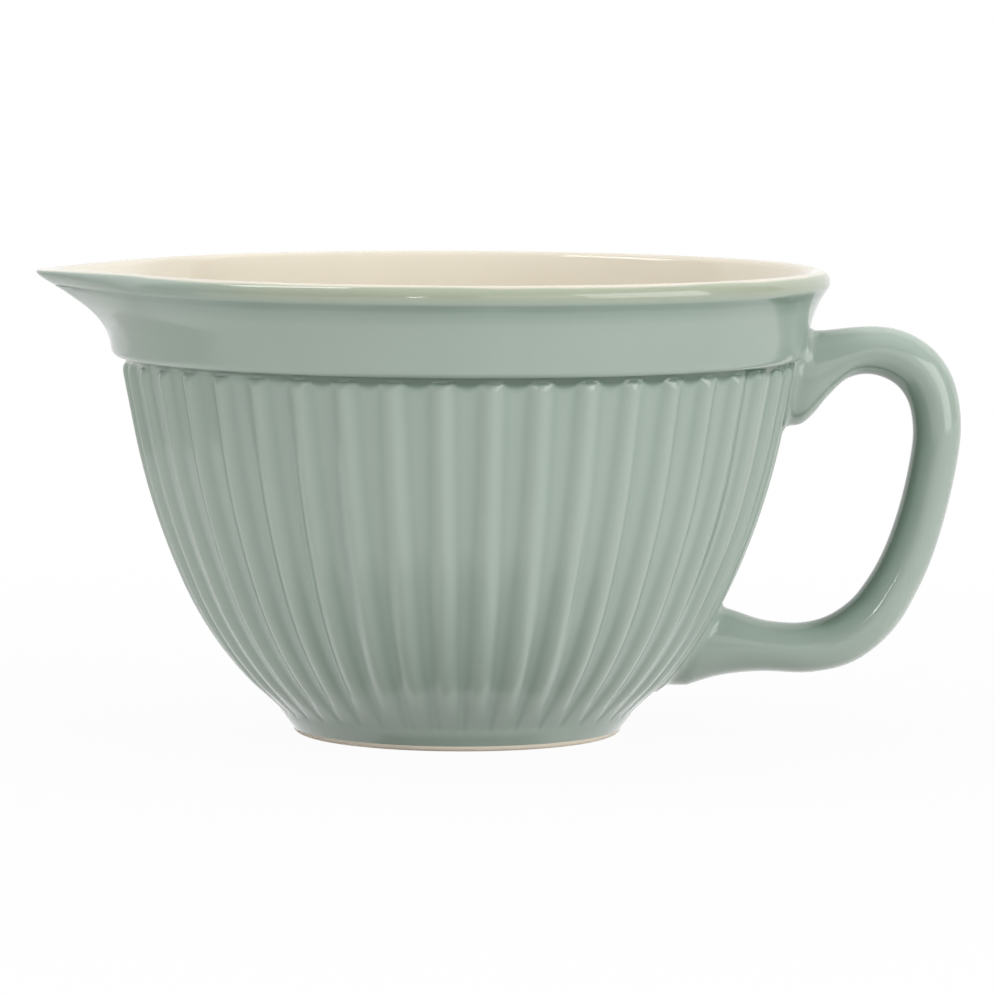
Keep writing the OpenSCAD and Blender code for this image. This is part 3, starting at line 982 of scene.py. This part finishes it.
def turn_profile(points: list[ProfilePoint], columns: int, form: BowlForm,
                 ends: Pair) -> bmesh.types.BMesh:
    """Spins a section round the axis, closes its ends and gives it ribs and the spout.

    Args:
        points: The section, from one point on the axis to another, the axis points left out.
        columns: Number of steps round the axis.
        form: The bowl's form, which places each point.
        ends: Heights of the two closing points on the axis, in millimetres.

    Returns:
        A closed bmesh with the float layers `pool` and `lip`.
    """
    maker = bmesh.new()
    index = maker.verts.layers.int.new("index")
    pool = maker.verts.layers.float.new("pool")
    lip = maker.verts.layers.float.new("lip")
    chain = []
    for i, point in enumerate(points):
        vert = maker.verts.new((point.place.x * MM, 0.0, point.place.y * MM))
        vert[index] = i
        chain.append(vert)
    edges = [maker.edges.new(pair) for pair in zip(chain, chain[1:])]
    bmesh.ops.spin(maker, geom=chain + edges, cent=(0, 0, 0), axis=(0, 0, 1), dvec=(0, 0, 0),
                   angle=2.0 * math.pi, steps=columns, use_merge=True, use_duplicate=False)
    for i, z in zip((0, len(points) - 1), ends):
        ring = {vert for vert in maker.verts if vert[index] == i}
        rim = [e for e in maker.edges if e.is_boundary and ring.issuperset(e.verts)]
        made = bmesh.ops.extrude_edge_only(maker, edges=rim)["geom"]
        fresh = [g for g in made if isinstance(g, bmesh.types.BMVert)]
        bmesh.ops.pointmerge(maker, verts=fresh, merge_co=(0.0, 0.0, z * MM))
    for vert in maker.verts:
        point = points[vert[index]]
        vert[lip], vert[pool] = point.lip, point.pool
        if math.hypot(vert.co.x, vert.co.y) > TINY:
            vert.co, vert[pool] = form.place(point, math.atan2(vert.co.y, vert.co.x))
    return maker


@dataclass
class CastBowl:
    """The cast body with its ribs, band and spout, the cream lining and the bare foot.

    Attributes:
        sage: Finish of the outside.
        cream: Finish of the lining.
        clay: Finish of the foot.
        columns_per_rib: Steps round the axis for one rib.
        lining_columns: Steps round the axis for the smooth lining.
        foot_columns: Steps round the axis for the foot.
        foot_inner_roll: Points of the foot ring's inner edge, from its radius and height 0.
        foot_outer_roll: Points of its outer edge, from the foot's radius and height 0.
    """

    form: BowlForm = BowlForm()
    sage: Glaze = SAGE
    cream: CreamGlaze = CREAM
    clay: BareStoneware = CLAY
    columns_per_rib: int = 16
    lining_columns: int = 352
    foot_columns: int = 256
    foot_inner_roll: tuple[Pair, ...] = ((0.0, 0.25), (0.3, 0.0))
    foot_outer_roll: tuple[Pair, ...] = ((0.3, 0.0), (1.2, 0.1), (1.9, 0.4), (2.4, 0.9))

    def make_body(self) -> bpy.types.Object:
        """Builds the glazed body.

        Returns:
            The piece.
        """
        form = self.form
        outside = form.foot_points() + form.wall_points() + form.band_points()
        inside = form.inside_points(form.glaze, fine=False)
        floor_z = form.recess + form.floor_thickness - form.glaze
        maker = turn_profile(outside + inside, form.rib_count * self.columns_per_rib, form,
                             (form.recess, floor_z))
        piece = finish_mesh(maker, "glazed_stoneware_body", self.sage.material())
        return dress(piece, "sage_glaze", "stoneware_body")

    def make_lining(self) -> bpy.types.Object:
        """Builds the cream glaze over the inside and the lip.

        Returns:
            The piece.
        """
        form = self.form
        under = list(reversed(form.inside_points(form.glaze, fine=False)))
        over = form.inside_points(0.0, fine=True)
        floor_z = form.recess + form.floor_thickness
        maker = turn_profile(under + over, self.lining_columns, form,
                             (floor_z - form.glaze, floor_z))
        piece = finish_mesh(maker, "cream_glaze_lining", self.cream.material())
        return dress(piece, "cream_glaze", "cream_lining")

    def make_foot(self) -> bpy.types.Object:
        """Builds the bare clay ring that the bowl stands on.

        Returns:
            The piece.
        """
        form = self.form
        inner = form.foot_inner_r
        outline = [(inner - form.recess_draft * form.bare_h, form.bare_h)]
        outline += [(inner + out, up) for out, up in self.foot_inner_roll]
        outline += [(form.foot_r + out, up) for out, up in self.foot_outer_roll]
        outline.append(tuple(form.foot_edge))
        maker = bmesh.new()
        chain = [maker.verts.new((r * MM, 0.0, z * MM)) for r, z in outline]
        edges = [maker.edges.new(pair) for pair in zip(chain, chain[1:] + chain[:1])]
        bmesh.ops.spin(maker, geom=chain + edges, cent=(0, 0, 0), axis=(0, 0, 1), dvec=(0, 0, 0),
                       angle=2.0 * math.pi, steps=self.foot_columns, use_merge=True,
                       use_duplicate=False)
        piece = finish_mesh(maker, "bare_foot_ring", self.clay.material(), sharp_angle=60.0)
        return dress(piece, "bare_stoneware", "foot_ring")


# A middle, half a thickness as a vector, and half a width.
Station = tuple[Vector, Vector, float]

# The handle's middle line from its upper to its lower joint. Each row has the place outwards, as
# a share of the reach, and downwards, as a share of the way between the joints, the direction in
# which the thickness is measured, in degrees, and how thick and how wide it is there.
HANDLE_STATIONS = (
    (-0.014, 0.004, 84.0, 2.03, 1.28),
    (0.097, 0.001, 79.0, 2.03, 1.22),
    (0.17, -0.021, 75.0, 1.87, 1.14),
    (0.248, -0.056, 67.0, 1.63, 1.06),
    (0.345, -0.09, 58.0, 1.34, 1.0),
    (0.455, -0.095, 52.0, 1.2, 0.97),
    (0.581, -0.073, 48.0, 1.12, 0.96),
    (0.714, -0.022, 40.0, 1.09, 0.96),
    (0.836, 0.063, 27.0, 1.07, 0.97),
    (0.932, 0.183, 10.0, 1.03, 0.98),
    (0.985, 0.313, -4.0, 1.0, 1.0),
    (1.024, 0.491, -7.0, 1.0, 1.0),
    (1.034, 0.657, -14.0, 1.02, 1.0),
    (1.01, 0.785, -19.0, 1.06, 1.0),
    (0.955, 0.897, -40.0, 1.1, 0.99),
    (0.829, 0.982, -59.0, 1.13, 0.98),
    (0.643, 1.016, -76.0, 1.09, 1.0),
    (0.4, 1.01, -95.0, 1.09, 1.05),
    (0.184, 1.0, -103.0, 1.42, 1.14),
    (0.029, 1.006, -109.0, 1.84, 1.24),
)


@dataclass
class PulledHandle:
    """The looped handle, pressed onto the wall at two joints.

    Attributes:
        top_drop: How far under the rim the upper joint's middle lies.
        low_z: Height of the lower joint's middle.
        overrun: How far both ends reach into the wall.
        fillet: Radius of the seam round each joint.
        pool_even: How thick the glaze lies on the sides.
        painted_shade_inside: Painted shade added along the inside of the loop.
        painted_light_outside: Taken off along its outside, as painted light.
        inner_shade_start: Share of the way along the handle where the painted shade inside starts.
        inner_shade_start_fade: Share of the way over which it comes in.
        inner_shade_end: Share where that ends.
        inner_shade_end_fade: Share of the way over which it goes out.
        inner_shade_narrowness: How closely it keeps to the middle of the loop's inside.
        joint_rings: Steps of the stretch inside the wall.
        sides: Points round a section.
        substeps: Smooth steps from one row of HANDLE_STATIONS to the next.
    """

    form: BowlForm = BowlForm()
    finish: Glaze = SAGE_HANDLE
    top_drop: float = 28.0
    low_z: float = 23.0
    reach: float = 45.0
    thickness: float = 12.15
    width: float = 17.0
    overrun: float = 4.0
    fillet: float = 2.2
    pool_even: float = 0.33
    painted_shade_inside: float = 0.66
    painted_light_outside: float = 0.2
    inner_shade_start: float = 0.16
    inner_shade_start_fade: float = 0.12
    inner_shade_end: float = 0.85
    inner_shade_end_fade: float = 0.09
    inner_shade_narrowness: float = 1.5
    joint_rings: int = 8
    sides: int = 48
    substeps: int = 6

    def stations(self) -> list[Station]:
        """Smooth stations along the handle, with both ends carried on into the wall.

        Returns:
            For each one its middle, half its thickness as a vector, and half its width.
        """
        rows = HANDLE_STATIONS
        smooth = []
        for i in range(len(rows) - 1):
            four = (rows[max(i - 1, 0)], rows[i], rows[i + 1], rows[min(i + 2, len(rows) - 1)])
            for k in range(self.substeps):
                smooth.append([curve_value(*values, k / self.substeps) for values in zip(*four)])
        smooth.append(rows[-1])
        top_z = self.form.height - self.top_drop
        upper = Vector((self.form.crest_radius(top_z), top_z))
        lower = Vector((self.form.crest_radius(self.low_z), self.low_z))
        stations = []
        for out, down, tilt, thick, wide in smooth:
            middle = upper.lerp(lower, down) + Vector((self.reach * out, 0.0))
            half = self.thickness / 2.0 * thick * compass(tilt)
            stations.append((middle, half, self.width / 2.0 * wide))
        first, last = (self.sunk(station) for station in (stations[0], stations[-1]))
        count = self.joint_rings
        start = [self.between(first, stations[0], t) for t in steps(count)[:-1]]
        end = [self.between(stations[-1], last, t) for t in steps(count, 1)]
        return start + stations + end

    def between(self, a: Station, b: Station, t: float) -> Station:
        """The station a share t of the way from one to another."""
        return a[0].lerp(b[0], t), a[1].lerp(b[1], t), blend(a[2], b[2], t)

    def sunk(self, station: Station) -> Station:
        """Moves an end station along the radius until it lies inside the wall.

        Args:
            station: The first or the last station outside the wall.

        Returns:
            A new station inside it.
        """
        middle, half, half_w = station
        edges = []
        for p in (middle + half, middle - half):
            edges.append(Vector((self.form.crest_radius(p.y) - self.overrun, p.y)))
        return (edges[0] + edges[1]) / 2.0, (edges[0] - edges[1]) / 2.0, half_w

    def flare(self, place: Vector) -> float:
        """How far the seam's fillet pushes a point of the handle out.

        Args:
            place: The point, in millimetres.

        Returns:
            The push, which is more than 0 only near the wall.
        """
        clear = math.hypot(place.x, place.y) - self.form.outer_radius(place.z)
        gap = self.fillet - min(self.fillet, max(0.0, clear))
        return self.fillet - math.sqrt(self.fillet ** 2 - gap ** 2)

    def glaze_and_shade_at(self, along: float, outwards: float) -> float:
        """How thick the glaze lies on a side of the handle, with painted shade inside the
        loop and painted light outside it.

        Args:
            along: Share of the way along the handle.
            outwards: Where on the section, from -1 inside the loop to 1 outside it.

        Returns:
            The thickness, from 0 on an edge to 1 in a groove.
        """
        # Painted shade along the middle of the loop's inside, kept off both joints, and painted
        # light along the outside.
        loop = clamp01((along - self.inner_shade_start) / self.inner_shade_start_fade)
        loop *= clamp01((self.inner_shade_end - along) / self.inner_shade_end_fade)
        inside = self.painted_shade_inside * loop * max(0.0, -outwards) ** self.inner_shade_narrowness
        return self.pool_even + inside - self.painted_light_outside * max(0.0, outwards) ** 2

    def make(self) -> bpy.types.Object:
        """Builds the handle.

        Returns:
            The piece.
        """
        maker = bmesh.new()
        pool = maker.verts.layers.float.new("pool")
        lip = maker.verts.layers.float.new("lip")
        ring = bmesh.ops.create_circle(maker, cap_ends=False, segments=self.sides, radius=1.0)
        rings = [ring["verts"]]
        stations = self.stations()
        for _ in stations[1:]:
            last = set(rings[-1])
            rim = [e for e in maker.edges if last.issuperset(e.verts) and len(e.link_faces) < 2]
            made = bmesh.ops.extrude_edge_only(maker, edges=rim)["geom"]
            rings.append([g for g in made if isinstance(g, bmesh.types.BMVert)])
        for i, (verts, (middle, half, half_w)) in enumerate(zip(rings, stations)):
            for vert in verts:
                c, s = vert.co.x, vert.co.y
                offset = Vector((half.x * c, -half_w * s, half.y * c))
                place = Vector((middle.x, 0.0, middle.y)) + offset
                vert.co = (place + self.flare(place) * offset.normalized()) * MM
                vert[pool] = self.glaze_and_shade_at(i / (len(stations) - 1), c)
                vert[lip] = FAR_BELOW_LIP
        bmesh.ops.holes_fill(maker, edges=[e for e in maker.edges if e.is_boundary], sides=0)
        piece = finish_mesh(maker, "pulled_handle", self.finish.material(), sharp_angle=70.0)
        return dress(piece, "sage_glaze", "handle", "upper_slip_joint", "lower_slip_joint")


class LampUse(Enum):
    """What a lamp is there for."""

    BOTH = "lights the bowl and shows in its glaze"
    LIGHT = "lights the bowl only"
    MIRROR = "shows in the glaze only"


@dataclass(frozen=True)
class Softbox:
    """A rectangular soft lamp. Its lengths are in millimetres.

    Attributes:
        name: Name of the lamp.
        place: Where it stands.
        target: The point that it faces.
        size: Width and height.
        level: Brightness of its face, where 1 is plain white.
        use: What it is there for.
    """

    name: str
    place: Place
    target: Place
    size: Pair
    level: float
    use: LampUse = LampUse.BOTH

    def hang(self) -> None:
        """Adds the lamp to the scene."""
        data = bpy.data.lights.new(self.name, "AREA")
        data.shape = "RECTANGLE"
        data.size, data.size_y = self.size[0] * MM, self.size[1] * MM
        data.energy = self.level * math.pi * data.size * data.size_y
        lamp = bpy.data.objects.new(self.name, data)
        lamp.visible_glossy = self.use is not LampUse.LIGHT
        lamp.visible_diffuse = self.use is not LampUse.MIRROR
        lamp.visible_camera = False
        bpy.context.scene.collection.objects.link(lamp)
        place, target = Vector(self.place), Vector(self.target)
        lamp.location = place * MM
        lamp.rotation_euler = (target - place).to_track_quat("-Z", "Y").to_euler()


LAMPS = (
    # The main light, which draws the bright line down the outside of the handle.
    Softbox("right_softbox", (1580.0, -980.0, 500.0), (0.0, 0.0, 60.0), (1500.0, 1500.0), 3.7),
    # Even light from above.
    Softbox("top_softbox", (0.0, 200.0, 1600.0), (0.0, 0.0, 0.0), (1500.0, 1200.0), 2.3,
            LampUse.LIGHT),
    # A window high on the left, which shows on what faces up: the lip and the handle's arch.
    Softbox("left_window", (-790.0, 230.0, 1600.0), (0.0, 0.0, 100.0), (480.0, 700.0), 6.0),
    # It lifts the left of the bowl.
    Softbox("front_fill", (-1050.0, -1380.0, 600.0), (0.0, 0.0, 60.0), (1500.0, 1500.0), 1.5,
            LampUse.LIGHT),
    # The small highlight on the handle's arch.
    Softbox("small_window", (-345.0, -1395.0, 297.0), (105.0, 0.0, 40.0), (130.0, 130.0), 15.0,
            LampUse.MIRROR),
    # A broad card in front, which gives the bowl and its band a pale sheen.
    Softbox("front_card", (684.0, -1879.0, 560.0), (80.0, 0.0, 50.0), (1050.0, 1000.0), 1.3,
            LampUse.MIRROR),
)


@dataclass(frozen=True)
class MirroredTable:
    """How bright the floor glows in reflections, a painted reflection of a lit table.

    A level of 1 is plain white. `left` and `right` are pairs of a distance from the bowl's axis
    and the level there. Each other pair says where a part of the pattern is still out and where
    it is full.

    Attributes:
        reach: Distance from the axis at which both rows end.
        turn: Angle from straight ahead over which `left` gives way to `right`.
        behind: How far back the floor behind the bowl starts.
        shade_edge: Edge of the painted shade in front, in halves of its size.
        shade_clear: Distance from the axis where that painted shade starts.
        foot_glow: Distance from the axis where the floor right at the foot ends.
        foot_side: How far to either side of the middle the bright sides of the foot start.
        sheet_end: How far to the left the sheet on the floor ends.
        sheet_front: How far back that end starts to show.
        sheet_back: How far back it shows.
    """

    reach: float = 1000.0
    left: tuple[Pair, ...] = ((0.0, 1.15), (50.0, 1.15), (58.0, 1.5), (1000.0, 1.5))
    right: tuple[Pair, ...] = ((0.0, 1.15), (50.0, 1.15), (58.0, 1.5), (150.0, 1.5),
                               (300.0, 1.2), (500.0, 0.7), (1000.0, 0.7))
    turn: Pair = (-20.0, 0.0)
    behind: Pair = (-20.0, 200.0)
    behind_level: float = 0.9
    shade_centre: Pair = (-6.0, -80.0)
    shade_half: Pair = (62.0, 48.0)
    shade_edge: Pair = (1.15, 0.5)
    shade_clear: Pair = (54.0, 59.0)
    shade_level: float = 0.06
    foot_glow: Pair = (46.0, 44.5)
    foot_side: Pair = (18.0, 25.0)
    foot_front_level: float = 0.1
    foot_side_level: float = 1.2
    sheet_end: Pair = (-288.0, -296.0)
    sheet_front: Pair = (-100.0, 0.0)
    sheet_back: Pair = (510.0, 450.0)
    off_sheet_level: float = 0.35

    def level(self, tree: bpy.types.NodeTree, coords: bpy.types.NodeSocket) -> bpy.types.NodeSocket:
        """Adds the nodes for the pattern.

        Args:
            tree: The floor material's tree.
            coords: Socket with the place on the floor.

        Returns:
            The socket with the level.
        """
        axes = add_node(tree, "ShaderNodeSeparateXYZ", {}, {0: coords})
        x, y = axes.outputs["X"], axes.outputs["Y"]
        aside = add_node(tree, "ShaderNodeMath", {"operation": "ABSOLUTE"}, {0: x})
        ahead = add_node(tree, "ShaderNodeMath", {"operation": "MULTIPLY", 1: -1.0}, {0: y})
        angle = add_node(tree, "ShaderNodeMath", {"operation": "ARCTAN2"},
                         {0: x, 1: ahead.outputs[0]})
        away = add_node(tree, "ShaderNodeVectorMath", {"operation": "LENGTH"}, {0: coords})
        from_shade = add_node(tree, "ShaderNodeVectorMath",
                              {"operation": "SUBTRACT", 1: Vector((*self.shade_centre, 0.0)) * MM},
                              {0: coords})
        half_x, half_y = self.shade_half
        in_halves = add_node(tree, "ShaderNodeVectorMath",
                             {"operation": "DIVIDE", 1: (half_x * MM, half_y * MM, 1.0)},
                             {0: from_shade.outputs[0]})
        spread = add_node(tree, "ShaderNodeVectorMath", {"operation": "LENGTH"},
                          {0: in_halves.outputs[0]})
        share = {}
        for name, value, unit in (
            ("turn", angle.outputs[0], math.radians(1.0)), ("behind", y, MM),
            ("shade_edge", spread.outputs["Value"], 1.0),
            ("shade_clear", away.outputs["Value"], MM), ("foot_glow", away.outputs["Value"], MM),
            ("foot_side", aside.outputs[0], MM), ("sheet_end", x, MM),
            ("sheet_front", y, MM), ("sheet_back", y, MM),
        ):
            out, full = getattr(self, name)
            low, high = sorted((out * unit, full * unit))
            step = add_node(tree, "ShaderNodeMapRange",
                            {"interpolation_type": "SMOOTHSTEP", "From Min": low, "From Max": high,
                             "To Min": float(out > full), "To Max": float(out < full)},
                            {"Value": value})
            share[name] = step.outputs["Result"]
        reach = add_node(tree, "ShaderNodeMapRange", {"From Max": self.reach * MM},
                         {"Value": away.outputs["Value"]})
        left, right = (
            add_node(tree, "ShaderNodeValToRGB",
                     {"stops": [(far / self.reach, (grey, grey, grey, 1.0)) for far, grey in side]},
                     {"Fac": reach.outputs["Result"]}) for side in (self.left, self.right))
        foot = add_node(tree, "ShaderNodeMix", {"data_type": "FLOAT"},
                        {0: share["foot_side"], 2: self.foot_front_level, 3: self.foot_side_level})
        level = left.outputs["Color"]
        for names, value in (
            (("turn",), right.outputs["Color"]),
            (("behind",), self.behind_level),
            (("shade_edge", "shade_clear"), self.shade_level),
            (("foot_glow",), foot.outputs[0]),
            (("sheet_end", "sheet_front", "sheet_back"), self.off_sheet_level),
        ):
            mask = share[names[0]]
            for name in names[1:]:
                mask = add_node(tree, "ShaderNodeMath", {"operation": "MULTIPLY"},
                                {0: mask, 1: share[name]}).outputs[0]
            level = add_node(tree, "ShaderNodeMix", {"data_type": "FLOAT"},
                             {0: mask, 2: level, 3: value}).outputs[0]
        return level


@dataclass(frozen=True)
class Studio:
    """Plain pale floor and backdrop, soft light and the camera at the photograph's angle.

    Attributes:
        floor_glow: Level of the floor under the bowl, as the camera sees it.
        floor_fade: Distance from the axis at which it has risen to 1.
        room_level: Brightness of the surroundings as a lamp.
        room_mirror_level: Their brightness in reflections.
    """

    camera_distance: float = 1451.0
    camera_height: float = 190.2
    camera_pitch: float = 5.10
    camera_roll: float = 0.27
    camera_azimuth: float = -1.4
    camera_sight: float = 50000.0
    lens: float = 204.6
    sensor_w: float = 36.0
    shift_x: float = 0.0391
    floor_half: float = 5000.0
    backdrop_y: float = 2500.0
    backdrop_tone: str = "#f4f4f2"
    floor_tone: str = "#c8c8c6"
    floor_glow: float = 0.955
    floor_fade: float = 600.0
    room_level: float = 0.3
    room_mirror_level: float = 0.2
    table: MirroredTable = MirroredTable()

    def backdrop_material(self) -> bpy.types.Material:
        """Matt painted board that stays plain white to the camera and in reflections.

        Returns:
            The material.
        """
        material, tree = new_material("matt_white_backdrop")
        path = add_node(tree, "ShaderNodeLightPath")
        seen = add_node(tree, "ShaderNodeMath", {"operation": "MAXIMUM"},
                        {0: path.outputs["Is Camera Ray"], 1: path.outputs["Is Glossy Ray"]})
        share = add_node(tree, "ShaderNodeMath", {"operation": "MAXIMUM"},
                         {0: seen.outputs[0], 1: path.outputs["Is Transmission Ray"]})
        matt = add_node(tree, "ShaderNodeBsdfDiffuse", {"Color": srgb(self.backdrop_tone)})
        white = add_node(tree, "ShaderNodeEmission", {"Strength": 1.0})
        mixed = add_node(tree, "ShaderNodeMixShader", {},
                         {0: share.outputs[0], 1: matt.outputs[0], 2: white.outputs[0]})
        add_node(tree, "ShaderNodeOutputMaterial", {}, {"Surface": mixed.outputs[0]})
        return material

    def floor_material(self) -> bpy.types.Material:
        """Matt board, nearly white to the camera, that glows with painted light and shade in
        reflections.

        Returns:
            The material.
        """
        material, tree = new_material("matt_white_floor")
        path = add_node(tree, "ShaderNodeLightPath")
        coords = add_node(tree, "ShaderNodeTexCoord").outputs["Object"]
        away = add_node(tree, "ShaderNodeVectorMath", {"operation": "LENGTH"}, {0: coords})
        glow = add_node(tree, "ShaderNodeMapRange",
                        {"interpolation_type": "SMOOTHSTEP", "From Max": self.floor_fade * MM,
                         "To Min": self.floor_glow, "To Max": 1.0},
                        {"Value": away.outputs["Value"]})
        direct = add_node(tree, "ShaderNodeMath", {"operation": "MAXIMUM"},
                          {0: path.outputs["Is Camera Ray"],
                           1: path.outputs["Is Transmission Ray"]})
        seen = add_node(tree, "ShaderNodeMath", {"operation": "MULTIPLY"},
                        {0: direct.outputs[0], 1: glow.outputs["Result"]})
        mirrored = add_node(tree, "ShaderNodeMath", {"operation": "MULTIPLY"},
                            {0: path.outputs["Is Glossy Ray"], 1: self.table.level(tree, coords)})
        level = add_node(tree, "ShaderNodeMath", {"operation": "ADD"},
                         {0: seen.outputs[0], 1: mirrored.outputs[0]})
        rest = add_node(tree, "ShaderNodeMath",
                        {"operation": "SUBTRACT", 0: 1.0, "use_clamp": True},
                        {1: level.outputs[0]})
        matt = add_node(tree, "ShaderNodeBsdfDiffuse", {"Color": srgb(self.floor_tone)})
        dimmed = add_node(tree, "ShaderNodeMixShader", {}, {0: rest.outputs[0], 2: matt.outputs[0]})
        white = add_node(tree, "ShaderNodeEmission", {}, {"Strength": level.outputs[0]})
        both = add_node(tree, "ShaderNodeAddShader", {},
                        {0: dimmed.outputs[0], 1: white.outputs[0]})
        add_node(tree, "ShaderNodeOutputMaterial", {}, {"Surface": both.outputs[0]})
        return material

    def make_stage(self) -> None:
        """Builds the floor and the backdrop."""
        for name, material, place_y, turn in (
            ("floor", self.floor_material(), 0.0, 0.0),
            ("backdrop", self.backdrop_material(), self.backdrop_y, 90.0),
        ):
            maker = bmesh.new()
            bmesh.ops.create_grid(maker, x_segments=1, y_segments=1, size=self.floor_half * MM)
            bmesh.ops.rotate(maker, verts=maker.verts, cent=(0, 0, 0),
                             matrix=Euler((math.radians(turn), 0.0, 0.0)).to_matrix())
            bmesh.ops.translate(maker, verts=maker.verts, vec=Vector((0.0, place_y, 0.0)) * MM)
            mesh = bpy.data.meshes.new(name)
            maker.to_mesh(mesh)
            maker.free()
            mesh.materials.append(material)
            plane = bpy.data.objects.new(name, mesh)
            bpy.context.scene.collection.objects.link(plane)

    def make_world(self) -> None:
        """Lights the surroundings with an even grey that is dimmer in reflections."""
        world = bpy.data.worlds.new("pale_room")
        bpy.context.scene.world = world
        world.use_nodes = True
        tree = world.node_tree
        tree.nodes.clear()
        path = add_node(tree, "ShaderNodeLightPath")
        level = add_node(tree, "ShaderNodeMapRange",
                         {"To Min": self.room_level, "To Max": self.room_mirror_level},
                         {"Value": path.outputs["Is Glossy Ray"]})
        back = add_node(tree, "ShaderNodeBackground", {"Color": (1.0, 1.0, 1.0, 1.0)},
                        {"Strength": level.outputs["Result"]})
        add_node(tree, "ShaderNodeOutputWorld", {}, {"Surface": back.outputs[0]})

    def make_camera(self) -> None:
        """Sets the camera where the photograph was taken from."""
        data = bpy.data.cameras.new("photo_camera")
        data.lens = self.lens
        data.sensor_width = self.sensor_w
        data.shift_x = self.shift_x
        data.clip_end = self.camera_sight * MM
        camera = bpy.data.objects.new("photo_camera", data)
        bpy.context.scene.collection.objects.link(camera)
        turn = Euler((0.0, 0.0, math.radians(self.camera_azimuth))).to_matrix()
        camera.location = turn @ Vector((0.0, -self.camera_distance, self.camera_height)) * MM
        tilt = Euler((math.radians(90.0 - self.camera_pitch), 0.0, 0.0)).to_matrix()
        roll = Euler((0.0, 0.0, math.radians(self.camera_roll))).to_matrix()
        camera.rotation_euler = (turn @ tilt @ roll).to_euler()
        bpy.context.scene.camera = camera


def main() -> None:
    logging.basicConfig(level=logging.INFO)
    bpy.context.scene.view_settings.view_transform = "Standard"
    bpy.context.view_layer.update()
    studio = Studio()
    studio.make_camera()
    studio.make_stage()
    studio.make_world()
    for lamp in LAMPS:
        lamp.hang()
    bowl = CastBowl()
    handle = PulledHandle()
    for make in (bowl.make_body, bowl.make_lining, bowl.make_foot, handle.make):
        piece = make()
        log.info("%s: %d faces", piece.name, len(piece.data.polygons))


if __name__ == "__main__":
    main()
